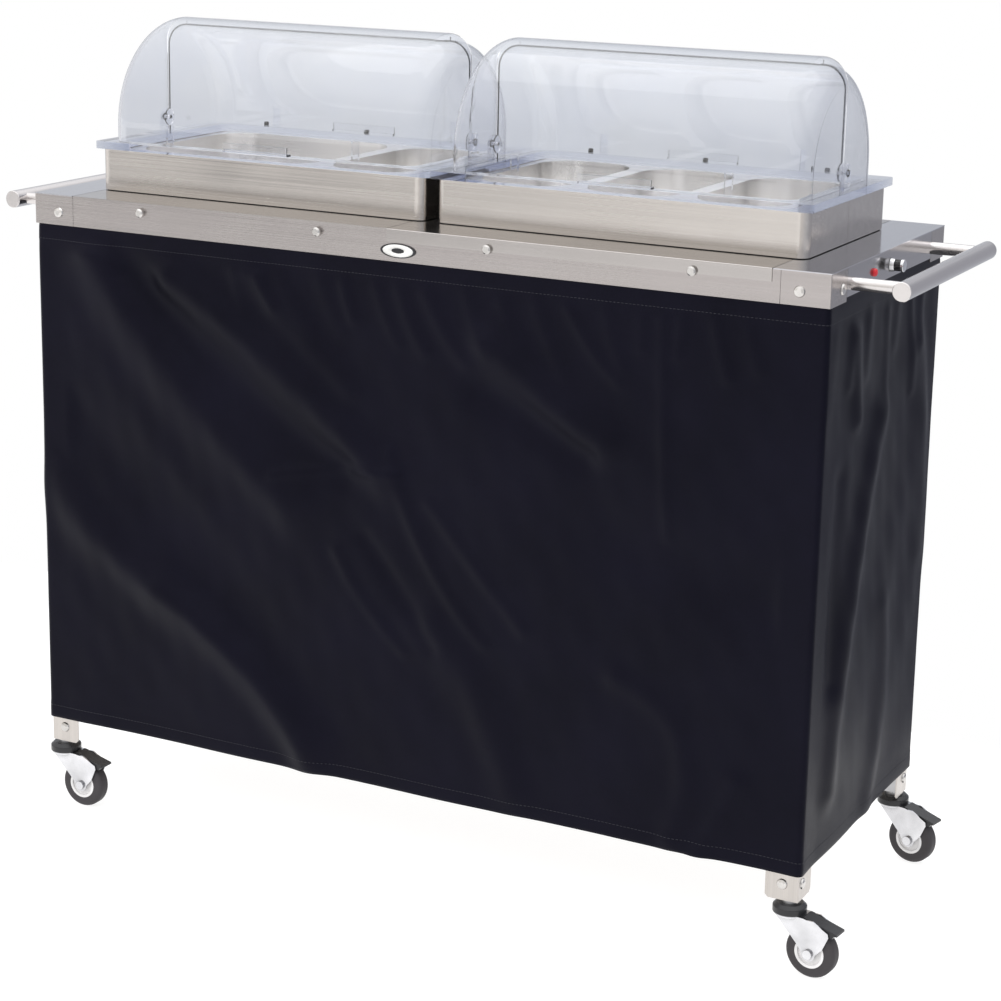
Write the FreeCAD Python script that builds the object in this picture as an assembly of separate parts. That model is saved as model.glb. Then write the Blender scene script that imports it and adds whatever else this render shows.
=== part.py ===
import FreeCAD, Part
import math
import os

# Mobile steam table: a sheet-metal trolley with two heated pan wells under clear
# roll-top lids. Millimetres, +Z up. The origin is on the floor under the centre of
# the table, +X points at the control end and -Y at the customer side.

# ---- pans and housings ------------------------------------------------------
PAN_FIELD_LENGTH = 530.0
PAN_FIELD_WIDTH = 325.0
PAN_DEPTH = 63.0
PAN_WALL = 0.8
PAN_RIM_WIDTH = 12.0
PAN_RIM_THICKNESS = 1.0
PAN_CORNER = 58.0
PAN_FLOOR_RADIUS = 14.0
PAN_GAP = 0.4
THIRDS_PER_FIELD = 3
HOUSING_END_LAND = 33.0
HOUSING_SIDE_LAND = 9.1
HOUSING_HEIGHT = 65.8
HOUSING_CORNER = 16.0
HOUSING_EDGE = 1.2
WRAPPER_SEAM = 0.8
RIM_OPENING_GAP = 4.0
WELL_FLANGE = 20.0
WELL_DEPTH = 104.0
WELL_SHEET = 1.2
WELL_CORNER = 50.0
WELL_FLOOR_RADIUS = 12.0
WELL_PAN_GAP = 3.2
GASKET_HEIGHT = 1.2
GASKET_INSET = 3.0
GASKET_WIDTH = 9.0
CUTOUT_GAP = 3.0
UNIT_GAP = 20.0

# ---- trolley ----------------------------------------------------------------
DECK_HEIGHT = 1044.0
DECK_END_MARGIN = 69.0
DECK_SIDE_MARGIN = 85.1
SHEET = 1.5
SEAM = 0.6
APRON_HEIGHT = 49.0
APRON_FLANGE = 18.0
END_PANEL_RAISE = 6.0
CORNER_PLATE_LENGTH = 74.0
CORNER_PLATE_WIDTH = 65.0
LAP_HEIGHT = 32.0
LAP_DROP = 12.0
LAP_LENGTH = 43.0
LAP_OVERLAP = 2.5
BAY_SEAM_X = -26.0
BAY_RIGHT_MARGIN = 86.5
BAY_FOLD = 19.2
FOLD_RADIUS = 1.2
CROSSBAR_WIDTH = 44.0
CROSSBAR_GAP = 3.0
LEG_FLANGE = 52.0
LEG_SHEET = 2.0
LEG_CLIP = 5.0
SHELF_RISE = 72.0
SHELF_FOLD = 22.0

# ---- fasteners --------------------------------------------------------------
BOLT_RADIUS = 4.0
BOLT_HEAD_RADIUS = 8.5
BOLT_HEAD_HEIGHT = 3.6
NUT_RADIUS = 7.0
NUT_HEIGHT = 6.0
HOLE_CLEARANCE = 0.25
CORNER_BOLT_INSET_X = 46.0
CORNER_BOLT_INSET_Y = 48.2
CORNER_BOLT_DROP = 29.0
FOOT_BOLT_RISE = 25.0
FOOT_BOLT_RADIUS = 3.0
FOOT_BOLT_HEAD = 8.5
FOOT_BOLT_GRIP = 8.0
FOOT_BOLT_OFFSET_X = 9.0
FOOT_BOLT_OFFSET_Y = 3.0
STUD_PLACES = (145.0, 469.0)
STUD_RADIUS = 7.0
STUD_SHANK = 3.0
STUD_REACH = 8.0
STUD_DROP = 15.5
STUD_NUT = 3.0

# ---- handles and controls ---------------------------------------------------
HANDLE_REACH = 84.0
HANDLE_HALF_LENGTH = 208.0
HANDLE_BAR_RADIUS = 14.0
HANDLE_ARM_RADIUS = 9.5
HANDLE_ARM_Y = 180.0
HANDLE_STUD_RADIUS = 5.0
HANDLE_STUD_LENGTH = 14.0
CONTROL_DROP = 24.5
LAMP_Y = -77.0
LAMP_LENS_RADIUS = 6.0
LAMP_BODY_RADIUS = 5.0
LAMP_REACH = 5.0
LAMP_BODY_LENGTH = 24.0
THERMOSTAT_LENGTH = 60.0
THERMOSTAT_WIDTH = 50.0
THERMOSTAT_HEIGHT = 26.0
SHAFT_RADIUS = 3.0
SHAFT_REACH = 18.0
KNOB_RADIUS = 8.5
KNOB_GAP = 0.5
KNOB_SKIRT_RADIUS = 10.5
KNOB_SKIRT_HEIGHT = 6.0
KNOB_GRIP_HEIGHT = 10.0
KNOB_CAP_HEIGHT = 4.5
BADGE_LENGTH = 60.0
BADGE_HEIGHT = 22.0
BADGE_X = -5.0
BADGE_DROP = 32.0
BADGE_THICKNESS = 1.6
INLET_SETBACK = 130.0
INLET_LENGTH = 50.0
INLET_HEIGHT = 28.0
INLET_DEPTH = 26.0
INLET_FLANGE = 4.0

# ---- skirt ------------------------------------------------------------------
SKIRT_RISE = 42.0
SKIRT_THICKNESS = 1.2
SKIRT_GAP = 0.2
SKIRT_TUCK = 10.0
SKIRT_RETURN = 60.0

# ---- casters ----------------------------------------------------------------
WHEEL_RADIUS = 39.5
TYRE_WIDTH = 24.0
TYRE_EDGE = 7.0
HUB_RADIUS = 23.5
HUB_HALF_WIDTH = 13.0
AXLE_RADIUS = 4.0
AXLE_HEAD_RADIUS = 7.0
AXLE_HEAD_HEIGHT = 4.0
PIN_CLEARANCE = 0.05
CASTER_TRAIL = 40.0
CROWN_GAP = 10.2
CROWN_SHEET = 3.5
CROWN_RADIUS = 23.0
CROWN_END = 27.0
CHEEK_SHEET = 2.2
CHEEK_GAP = 0.5
CHEEK_FOOT = 11.0
CUP_RADIUS = 25.5
CUP_HEIGHT = 14.0
CUP_RIM_HEIGHT = 9.0
CUP_NECK_RADIUS = 20.0
BEARING_GAP = 0.3
STEM_RADIUS = 5.0
STEM_LENGTH = 60.0
STEM_NUT_RADIUS = 8.0
STEM_NUT_HEIGHT = 5.7
STEM_COLLAR_RADIUS = 12.0
STEM_COLLAR_HEIGHT = 5.0
MOUNT_BLOCK_HEIGHT = 60.0
PIVOT_INSET_X = 16.5
PIVOT_INSET_Y = 13.2
PEDAL_PIN_RADIUS = 2.0
PEDAL_PIN_GAP = 7.5
HEADINGS = {"front_left": 0.0, "front_right": -6.0, "back_left": -12.0, "back_right": -12.0}

# ---- roll-top lids ----------------------------------------------------------
LID_SEAT_GAP = 0.3
LID_FRAME_HEIGHT = 12.0
LID_END_OVERHANG = 8.5
LID_SIDE_OVERHANG = 4.4
LID_END_RAIL = 39.0
LID_SIDE_RAIL = 26.0
LID_CORNER = 5.0
LID_OPENING_CORNER = 22.0
LID_EDGE = 1.2
DOOR_WALL = 2.5
DOOR_SIDE_INSET = 9.0
DOOR_END_INSET = 20.0
DOOR_NEST_X = 4.0
DOOR_NEST_R = 11.5
DOOR_END_RADIUS = 40.0
DOOR_SKIRT = 23.9
DOOR_BOTTOM_GAP = 0.3
DOOR_LOBE = 14.0
PIVOT_PIN_RADIUS = 3.0
PIVOT_HEAD_RADIUS = 6.0
PIVOT_HEAD_HEIGHT = 3.0
PIVOT_BRACKET = 6.0
BRACKET_GAP = 1.0
LUG_X = 171.0
LUG_LENGTH = 12.0
LUG_THICKNESS = 4.4
LUG_HEIGHT = 32.7
LUG_GAP = 1.3
BUMPER_X = 200.0
BUMPER_RADIUS = 4.0
BUMPER_HEIGHT = 6.0
TAB_LENGTH = 118.0
TAB_REACH = 13.0
TAB_HEIGHT = 14.0
TAB_SHEET = 3.0
TAB_RISE = 1.0
REAR_LIP_THICKNESS = 2.2
NESTED_CLEARANCE = 1.0
LIP_THICKNESS = 4.0
LIP_HEIGHT = 5.5

# ---- heating element --------------------------------------------------------
ELEMENT_RADIUS = 4.0
ELEMENT_BEND = 100.0
ELEMENT_RISE = 12.0
ELEMENT_TAIL = 18.0
ELEMENT_NUT = 8.0

# ---- sizes worked out from those above --------------------------------------
HOUSING_LENGTH = PAN_FIELD_LENGTH + 2 * HOUSING_END_LAND
HOUSING_WIDTH = PAN_FIELD_WIDTH + 2 * HOUSING_SIDE_LAND
UNIT_X = (HOUSING_LENGTH + UNIT_GAP) / 2
HALF_LENGTH = HOUSING_LENGTH + UNIT_GAP / 2 + DECK_END_MARGIN
HALF_WIDTH = HOUSING_WIDTH / 2 + DECK_SIDE_MARGIN
DECK_UNDER = DECK_HEIGHT - SHEET
APRON_BOTTOM = DECK_HEIGHT - APRON_HEIGHT
SEAM_X = HALF_LENGTH - CORNER_PLATE_LENGTH
INLET_X = HALF_LENGTH - INLET_SETBACK
SEAM_Y = HALF_WIDTH - CORNER_PLATE_WIDTH
BAY_RIGHT_X = HALF_LENGTH - BAY_RIGHT_MARGIN
LAP_TOP = DECK_HEIGHT - 5.0
LAP_BOTTOM = APRON_BOTTOM + LAP_DROP
LEG_X = HALF_LENGTH - 3 * SHEET
LEG_Y = HALF_WIDTH - 3 * SHEET
WHEEL_HEIGHT = 2 * WHEEL_RADIUS
CROWN_BOTTOM = WHEEL_HEIGHT + CROWN_GAP
CROWN_TOP = CROWN_BOTTOM + CROWN_SHEET
CUP_BOTTOM = CROWN_TOP + BEARING_GAP
CUP_TOP = CUP_BOTTOM + CUP_HEIGHT
LEG_BOTTOM = CUP_TOP + STEM_COLLAR_HEIGHT
SHELF_HEIGHT = LEG_BOTTOM + SHELF_RISE
SKIRT_BOTTOM = LEG_BOTTOM + SKIRT_RISE
PIVOT_X = LEG_X - PIVOT_INSET_X
PIVOT_Y = LEG_Y - PIVOT_INSET_Y
CORNER_BOLT_X = HALF_LENGTH - CORNER_BOLT_INSET_X
CORNER_BOLT_Y = HALF_WIDTH - CORNER_BOLT_INSET_Y
CORNER_BOLT_Z = DECK_HEIGHT - CORNER_BOLT_DROP
FOOT_BOLT_Z = LEG_BOTTOM + FOOT_BOLT_RISE
CONTROL_Z = DECK_HEIGHT - CONTROL_DROP
HOUSING_BOTTOM = DECK_HEIGHT + GASKET_HEIGHT
HOUSING_TOP = HOUSING_BOTTOM + HOUSING_HEIGHT
RIM_SEAT = HOUSING_TOP - SHEET
WELL_LENGTH = PAN_FIELD_LENGTH - 2 * PAN_RIM_WIDTH + 2 * WELL_PAN_GAP
WELL_WIDTH = PAN_FIELD_WIDTH - 2 * PAN_RIM_WIDTH + 2 * WELL_PAN_GAP
WELL_BOTTOM = RIM_SEAT - WELL_DEPTH
CROSSBAR_BOTTOM = WELL_BOTTOM + ELEMENT_RISE + ELEMENT_NUT + CROSSBAR_GAP
LID_BOTTOM = HOUSING_TOP + LID_SEAT_GAP
LID_TOP = LID_BOTTOM + LID_FRAME_HEIGHT
LID_LENGTH = HOUSING_LENGTH + 2 * LID_END_OVERHANG
LID_WIDTH = HOUSING_WIDTH + 2 * LID_SIDE_OVERHANG
DOOR_AXIS_Z = LID_TOP + DOOR_BOTTOM_GAP + DOOR_SKIRT
DOOR_RADIUS = LID_WIDTH / 2 - DOOR_SIDE_INSET
DOOR_HALF = LID_LENGTH / 2 - DOOR_END_INSET
PEDAL_PIN_Z = WHEEL_HEIGHT + PEDAL_PIN_GAP
CHEEK_INNER = HUB_HALF_WIDTH + CHEEK_GAP
CHEEK_OUTER = CHEEK_INNER + CHEEK_SHEET

X_AXIS = FreeCAD.Vector(1, 0, 0)
Y_AXIS = FreeCAD.Vector(0, 1, 0)
Z_AXIS = FreeCAD.Vector(0, 0, 1)
HERE = FreeCAD.Vector(0, 0, 0)
CORNERS = {"front_left": (-1, -1), "front_right": (1, -1), "back_left": (-1, 1), "back_right": (1, 1)}
SIDES = {"left": -1, "right": 1}

nodes = {}


def block(x_span, y_span, z_span):
    """A box between two values on each axis, given in any order."""
    spans = [sorted(span) for span in (x_span, y_span, z_span)]
    size = [high - low for low, high in spans]
    return Part.makeBox(size[0], size[1], size[2], FreeCAD.Vector(*[low for low, high in spans]))


def rounded_block(length, width, z_span, radius):
    """An upright block about the Z axis with rounded vertical corners."""
    solid = block((-length / 2, length / 2), (-width / 2, width / 2), z_span)
    upright = [edge for edge in solid.Edges if is_upright(edge)]
    return solid.makeFillet(radius, upright)


def is_upright(edge):
    """True where an edge runs along Z."""
    first = edge.Vertexes[0].Point
    last = edge.Vertexes[-1].Point
    return abs(first.x - last.x) < 0.01 and abs(first.y - last.y) < 0.01


def edges_at(solid, height):
    """The edges that lie in one horizontal plane."""
    return [edge for edge in solid.Edges
            if abs(edge.BoundBox.ZMin - height) < 0.01 and abs(edge.BoundBox.ZMax - height) < 0.01]


def rod(start, direction, radius, length):
    """A cylinder from a start point along a direction."""
    return Part.makeCylinder(radius, length, FreeCAD.Vector(*start), direction)


def turned(profile, centre):
    """A turned solid about the X direction from (x, radius) points, moved to a centre."""
    points = [FreeCAD.Vector(x, 0, r) for x, r in profile]
    face = Part.Face(Part.makePolygon(points + [points[0]]))
    solid = face.revolve(HERE, X_AXIS, 360)
    solid.translate(FreeCAD.Vector(*centre))
    return solid


def fused(shapes):
    """One solid from several that meet."""
    whole = shapes[0]
    if len(shapes) > 1:
        whole = shapes[0].multiFuse(shapes[1:])
    return whole.removeSplitter()


def cut_all(solid, tools):
    """A solid with several tools cut out of it."""
    return solid.cut(Part.makeCompound(tools))


def flip_x(shape):
    """The mirror image across the plane through the middle of the length."""
    return shape.mirror(HERE, X_AXIS)


def flip_y(shape):
    """The mirror image across the plane through the middle of the width."""
    return shape.mirror(HERE, Y_AXIS)


def to_corner(shape, sx, sy):
    """Moves a shape made at the back right corner to another corner."""
    if sx < 0:
        shape = flip_x(shape)
    if sy < 0:
        shape = flip_y(shape)
    return shape


def moved(shape, x=0.0, y=0.0, z=0.0):
    """A copy of a shape at another place."""
    copy = shape.copy()
    copy.translate(FreeCAD.Vector(x, y, z))
    return copy


def keep(name, shapes):
    """Stores the solids of one named piece, or of one group of like pieces."""
    if not isinstance(shapes, list):
        shapes = [shapes]
    nodes[name] = shapes


# ---- holes shared by the pieces that bolts and studs go through -------------
def corner_holes():
    """Bolt holes of the back right corner, one along Y and one along X."""
    radius = BOLT_RADIUS + HOLE_CLEARANCE
    depth = 20.0
    along_y = rod((CORNER_BOLT_X, HALF_WIDTH + 1, CORNER_BOLT_Z), -Y_AXIS, radius, depth)
    along_x = rod((HALF_LENGTH + 1, CORNER_BOLT_Y, CORNER_BOLT_Z), -X_AXIS, radius, depth)
    return [along_y, along_x]


def stud_holes():
    """Holes for the deck studs through the front and back aprons."""
    radius = STUD_SHANK + HOLE_CLEARANCE
    span = 2 * HALF_WIDTH + 20
    holes = []
    for place in STUD_PLACES:
        for sign in (-1, 1):
            start = (sign * place, -span / 2, DECK_HEIGHT - STUD_DROP)
            holes.append(rod(start, Y_AXIS, radius, span))
    return holes


# ---- sheet metal ------------------------------------------------------------
def make_leg():
    """Folded angle leg of the back right corner, clipped at its foot."""
    x_face = block((LEG_X - LEG_FLANGE, LEG_X), (LEG_Y - LEG_SHEET, LEG_Y), (LEG_BOTTOM, DECK_UNDER))
    y_face = block((LEG_X - LEG_SHEET, LEG_X), (LEG_Y - LEG_FLANGE, LEG_Y), (LEG_BOTTOM, DECK_UNDER))
    leg = fused([x_face, y_face])
    bend = [edge for edge in leg.Edges if is_upright(edge)
            and edge.BoundBox.XMin > LEG_X - 0.01 and edge.BoundBox.YMin > LEG_Y - 0.01]
    leg = leg.makeFillet(LEG_SHEET - 0.2, bend)
    clip = LEG_CLIP * math.sqrt(2)
    for x, y in ((LEG_X - LEG_FLANGE, LEG_Y), (LEG_X, LEG_Y - LEG_FLANGE)):
        wedge = block((-clip / 2, clip / 2), (-clip / 2, clip / 2), (-clip / 2, clip / 2))
        spin = X_AXIS if x == LEG_X else Y_AXIS
        wedge.rotate(HERE, spin, 45)
        wedge.translate(FreeCAD.Vector(x, y, LEG_BOTTOM))
        leg = leg.cut(wedge)
    foot_y = rod((PIVOT_X - FOOT_BOLT_OFFSET_X, LEG_Y + 1, FOOT_BOLT_Z), -Y_AXIS,
                 FOOT_BOLT_RADIUS + HOLE_CLEARANCE, LEG_SHEET + 4)
    foot_x = rod((LEG_X + 1, PIVOT_Y - FOOT_BOLT_OFFSET_Y, FOOT_BOLT_Z), -X_AXIS,
                 FOOT_BOLT_RADIUS + HOLE_CLEARANCE, LEG_SHEET + 4)
    return cut_all(leg, corner_holes() + [foot_y, foot_x])


def make_corner_plate():
    """Cover plate wrapped round the back right corner of the apron."""
    x_face = block((SEAM_X, HALF_LENGTH), (HALF_WIDTH - SHEET, HALF_WIDTH), (APRON_BOTTOM, DECK_UNDER))
    y_face = block((HALF_LENGTH - SHEET, HALF_LENGTH), (SEAM_Y, HALF_WIDTH), (APRON_BOTTOM, DECK_UNDER))
    plate = fused([x_face, y_face])
    bend = [edge for edge in plate.Edges if is_upright(edge)
            and edge.BoundBox.XMin > HALF_LENGTH - 0.01 and edge.BoundBox.YMin > HALF_WIDTH - 0.01]
    plate = plate.makeFillet(SHEET - 0.2, bend)
    return cut_all(plate, corner_holes())


def make_apron():
    """Back apron: a folded face with a top flange and joggled laps behind the corner plates."""
    end = SEAM_X - SEAM
    face = block((-end, end), (HALF_WIDTH - SHEET, HALF_WIDTH), (APRON_BOTTOM, DECK_UNDER))
    top = block((-end, end), (HALF_WIDTH - APRON_FLANGE, HALF_WIDTH), (DECK_UNDER - SHEET, DECK_UNDER))
    lap = block((end - LAP_OVERLAP * 3, end + LAP_LENGTH),
                (HALF_WIDTH - 2 * SHEET, HALF_WIDTH - SHEET), (LAP_BOTTOM, LAP_TOP))
    apron = fused([face, top, lap, flip_x(lap)])
    holes = corner_holes()
    return cut_all(apron, holes + [flip_x(hole) for hole in holes] + stud_holes())


def make_end_panel():
    """Right end panel with its top flange, laps and the holes for the handle and the controls."""
    end = SEAM_Y - SEAM
    low = APRON_BOTTOM + END_PANEL_RAISE
    face = block((HALF_LENGTH - SHEET, HALF_LENGTH), (-end, end), (low, DECK_UNDER))
    flange_end = min(end, LEG_Y - LEG_FLANGE - SEAM)
    top = block((HALF_LENGTH - APRON_FLANGE, HALF_LENGTH), (-flange_end, flange_end),
                (DECK_UNDER - SHEET, DECK_UNDER))
    lap = block((HALF_LENGTH - 2 * SHEET, HALF_LENGTH - SHEET),
                (end - LAP_OVERLAP, CORNER_BOLT_Y + BOLT_HEAD_RADIUS), (LAP_BOTTOM, LAP_TOP))
    panel = fused([face, top, lap, flip_y(lap)])
    holes = corner_holes()
    holes += [flip_y(hole) for hole in holes]
    for sign in (-1, 1):
        start = (HALF_LENGTH + 1, sign * HANDLE_ARM_Y, CONTROL_Z)
        holes.append(rod(start, -X_AXIS, HANDLE_STUD_RADIUS + HOLE_CLEARANCE, 10))
    return cut_all(panel, holes)


def control_holes():
    """Holes in the right end panel for the thermostat shaft and the pilot lamp."""
    shaft = rod((HALF_LENGTH + 1, 0, CONTROL_Z), -X_AXIS, SHAFT_RADIUS + HOLE_CLEARANCE, 10)
    lamp = rod((HALF_LENGTH + 1, LAMP_Y, CONTROL_Z), -X_AXIS, LAMP_BODY_RADIUS + HOLE_CLEARANCE, 10)
    return [shaft, lamp]


def inlet_hole():
    """Opening in the back apron for the power inlet."""
    wide = INLET_LENGTH - 2 * INLET_FLANGE
    tall = INLET_HEIGHT - 2 * INLET_FLANGE
    return block((INLET_X - wide / 2, INLET_X + wide / 2), (HALF_WIDTH - 5, HALF_WIDTH + 5),
                 (CONTROL_Z - tall / 2, CONTROL_Z + tall / 2))


def well_cutout(sign):
    """The opening in a bay plate that the well hangs through."""
    length = WELL_LENGTH + 2 * (WELL_SHEET + CUTOUT_GAP)
    width = WELL_WIDTH + 2 * (WELL_SHEET + CUTOUT_GAP)
    hole = rounded_block(length, width, (DECK_UNDER - 5, DECK_HEIGHT + 5), WELL_CORNER)
    return moved(hole, x=sign * UNIT_X)


def make_bay_plate(x_start, x_end, sign, folded):
    """Deck plate that carries one warming unit, with an optional fold over the front apron."""
    reach = HALF_WIDTH + (SHEET if folded else 0.0)
    parts = [block((x_start, x_end), (-reach, HALF_WIDTH), (DECK_UNDER, DECK_HEIGHT))]
    if folded:
        parts.append(block((x_start, x_end), (-reach, -HALF_WIDTH), (DECK_HEIGHT - BAY_FOLD, DECK_HEIGHT)))
    plate = fused(parts)
    if folded:
        bend = [edge for edge in edges_at(plate, DECK_HEIGHT) if edge.BoundBox.YMax < 0.01 - reach]
        plate = plate.makeFillet(FOLD_RADIUS, bend)
    return cut_all(plate, [well_cutout(sign)] + stud_holes())


def make_deck_end(x_start, x_end):
    """Plain deck plate over one end of the table."""
    return block((x_start, x_end), (-HALF_WIDTH, HALF_WIDTH), (DECK_UNDER, DECK_HEIGHT))


def make_crossbar():
    """Channel under the seam between the bay plates, notched for the apron flanges."""
    low = BAY_SEAM_X - CROSSBAR_WIDTH / 2
    high = BAY_SEAM_X + CROSSBAR_WIDTH / 2
    reach = HALF_WIDTH - SHEET
    bar = block((low, high), (-reach, reach), (CROSSBAR_BOTTOM, DECK_UNDER))
    hollow = block((low + SHEET, high - SHEET), (-reach - 1, reach + 1),
                   (CROSSBAR_BOTTOM - 1, DECK_UNDER - SHEET))
    notches = []
    for side in (-1, 1):
        notches.append(block((low - 1, high + 1), (side * (HALF_WIDTH - APRON_FLANGE - SEAM), side * HALF_WIDTH),
                             (DECK_UNDER - SHEET, DECK_UNDER + 1)))
    bar = bar.cut(hollow)
    lid = [block((low, high), (side * (reach - APRON_FLANGE), side * reach),
                 (DECK_UNDER - 2 * SHEET, DECK_UNDER - SHEET)) for side in (-1, 1)]
    return cut_all(fused([bar] + lid), notches)


def make_shelf():
    """Lower shelf between the legs with a down-turned edge on each side."""
    x_in = LEG_X - LEG_SHEET
    y_in = LEG_Y - LEG_SHEET
    low = SHELF_HEIGHT - SHELF_FOLD
    parts = [block((-x_in, x_in), (-y_in, y_in), (SHELF_HEIGHT - SHEET, SHELF_HEIGHT))]
    fold_x = LEG_X - LEG_FLANGE - 2
    fold_y = LEG_Y - LEG_FLANGE - 2
    for side in (-1, 1):
        parts.append(block((-fold_x, fold_x), (side * y_in, side * (y_in - SHEET)), (low, SHELF_HEIGHT)))
        parts.append(block((side * x_in, side * (x_in - SHEET)), (-fold_y, fold_y), (low, SHELF_HEIGHT)))
    return fused(parts)


def make_skirt():
    """Cloth skirt round the front and both ends, with a short return at the back corners."""
    outer_x = HALF_LENGTH - SHEET - SKIRT_GAP
    outer_y = HALF_WIDTH - SHEET - SKIRT_GAP
    inner_x = outer_x - SKIRT_THICKNESS
    inner_y = outer_y - SKIRT_THICKNESS
    height = (SKIRT_BOTTOM, APRON_BOTTOM + SKIRT_TUCK)
    skirt = block((-outer_x, outer_x), (-outer_y, outer_y), height)
    hollow = block((-inner_x, inner_x), (-inner_y, inner_y), (0, 2 * DECK_HEIGHT))
    opening_x = outer_x - SKIRT_RETURN
    opening = block((-opening_x, opening_x), (0, outer_y + 5), (0, 2 * DECK_HEIGHT))
    return skirt.cut(hollow).cut(opening)


# ---- fasteners --------------------------------------------------------------
def make_bolt(head_radius, head_height, radius, grip, nut):
    """Button-head bolt along +X: the head stands on x below 0 and the shank runs into x above 0."""
    profile = [(-head_height, 0), (-head_height, head_radius * 0.45), (-head_height * 0.6, head_radius * 0.85),
               (0, head_radius), (0, radius), (grip, radius)]
    if nut:
        profile += [(grip, NUT_RADIUS), (grip + NUT_HEIGHT, NUT_RADIUS), (grip + NUT_HEIGHT, 0)]
    else:
        profile += [(grip, 0)]
    return turned(profile, (0, 0, 0))


def inward_y(shape):
    """Turns a bolt made along +X so that it runs along -Y, into the back face."""
    turned_shape = shape.copy()
    turned_shape.rotate(HERE, Z_AXIS, -90)
    return turned_shape


def inward_x(shape):
    """Turns a bolt made along +X so that it runs along -X, into the right end."""
    turned_shape = shape.copy()
    turned_shape.rotate(HERE, Z_AXIS, 180)
    return turned_shape


def make_frame_bolts():
    """Corner bolts with their spacers, foot bolts and the handle nuts."""
    grip = 3 * SHEET + LEG_SHEET
    corner = make_bolt(BOLT_HEAD_RADIUS, BOLT_HEAD_HEIGHT, BOLT_RADIUS, grip, True)
    foot = make_bolt(FOOT_BOLT_HEAD, BOLT_HEAD_HEIGHT, FOOT_BOLT_RADIUS, FOOT_BOLT_GRIP, False)
    spacer = rod((2 * SHEET, 0, 0), X_AXIS, BOLT_HEAD_RADIUS, SHEET)
    spacer = spacer.cut(rod((0, 0, 0), X_AXIS, BOLT_RADIUS + HOLE_CLEARANCE, 4 * SHEET))
    at_corner = []
    for piece in (corner, spacer):
        at_corner.append(moved(inward_y(piece), CORNER_BOLT_X, HALF_WIDTH, CORNER_BOLT_Z))
        at_corner.append(moved(inward_x(piece), HALF_LENGTH, CORNER_BOLT_Y, CORNER_BOLT_Z))
    at_corner.append(moved(inward_y(foot), PIVOT_X - FOOT_BOLT_OFFSET_X, LEG_Y, FOOT_BOLT_Z))
    at_corner.append(moved(inward_x(foot), LEG_X, PIVOT_Y - FOOT_BOLT_OFFSET_Y, FOOT_BOLT_Z))
    nut = rod((HALF_LENGTH - SHEET, HANDLE_ARM_Y, CONTROL_Z), -X_AXIS, NUT_RADIUS + 1.5, NUT_HEIGHT)
    stud = rod((HALF_LENGTH, HANDLE_ARM_Y, CONTROL_Z), -X_AXIS, HANDLE_STUD_RADIUS, 40)
    at_corner.append(nut.cut(stud))
    bolts = []
    for sx, sy in CORNERS.values():
        bolts += [to_corner(piece, sx, sy) for piece in at_corner]
    return bolts


def make_studs():
    """Round-headed studs through the deck folds and aprons, four at the front and four at the back."""
    studs = []
    for place in STUD_PLACES:
        for sx in (-1, 1):
            x = sx * place
            folded = BAY_SEAM_X < x < BAY_RIGHT_X
            studs.append(make_stud(x, 0.0))
            studs.append(flip_y(make_stud(x, SHEET if folded else 0.0)))
    return studs


def make_stud(x, seat):
    """One stud of the back apron, with its head standing on a seat outside the apron face."""
    head = STUD_REACH - seat
    tail = seat + SHEET
    profile = [(-head, 0), (-head, STUD_RADIUS * 0.7), (-head * 0.75, STUD_RADIUS), (0, STUD_RADIUS),
               (0, STUD_SHANK), (tail, STUD_SHANK), (tail, STUD_RADIUS * 0.8),
               (tail + STUD_NUT, STUD_RADIUS * 0.8), (tail + STUD_NUT, 0)]
    return moved(inward_y(turned(profile, (0, 0, 0))), x, HALF_WIDTH + seat, DECK_HEIGHT - STUD_DROP)


# ---- handles and controls ---------------------------------------------------
def make_handle():
    """Welded push handle of the right end: a bar on two straight arms with threaded ends."""
    x = HALF_LENGTH + HANDLE_REACH
    bar = rod((x, -HANDLE_HALF_LENGTH, CONTROL_Z), Y_AXIS, HANDLE_BAR_RADIUS, 2 * HANDLE_HALF_LENGTH)
    ends = [edge for edge in bar.Edges if edge.BoundBox.YLength < 0.01]
    parts = [bar.makeChamfer(0.8, ends)]
    for sign in (-1, 1):
        y = sign * HANDLE_ARM_Y
        parts.append(rod((HALF_LENGTH, y, CONTROL_Z), X_AXIS, HANDLE_ARM_RADIUS, HANDLE_REACH))
        parts.append(rod((HALF_LENGTH - HANDLE_STUD_LENGTH, y, CONTROL_Z), X_AXIS,
                         HANDLE_STUD_RADIUS, HANDLE_STUD_LENGTH + 5))
    return fused(parts)


def make_thermostat():
    """Thermostat body behind the right end panel, with the shaft that the knob turns on."""
    back = HALF_LENGTH - SHEET
    body = block((back - THERMOSTAT_LENGTH, back), (-THERMOSTAT_WIDTH / 2, THERMOSTAT_WIDTH / 2),
                 (CONTROL_Z - THERMOSTAT_HEIGHT / 2, CONTROL_Z + THERMOSTAT_HEIGHT / 2))
    body = body.makeFillet(3, [edge for edge in body.Edges if edge.BoundBox.XLength > THERMOSTAT_LENGTH - 1])
    shaft = rod((back - 1, 0, CONTROL_Z), X_AXIS, SHAFT_RADIUS, SHAFT_REACH + SHEET + 1)
    return fused([body, shaft])


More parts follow.
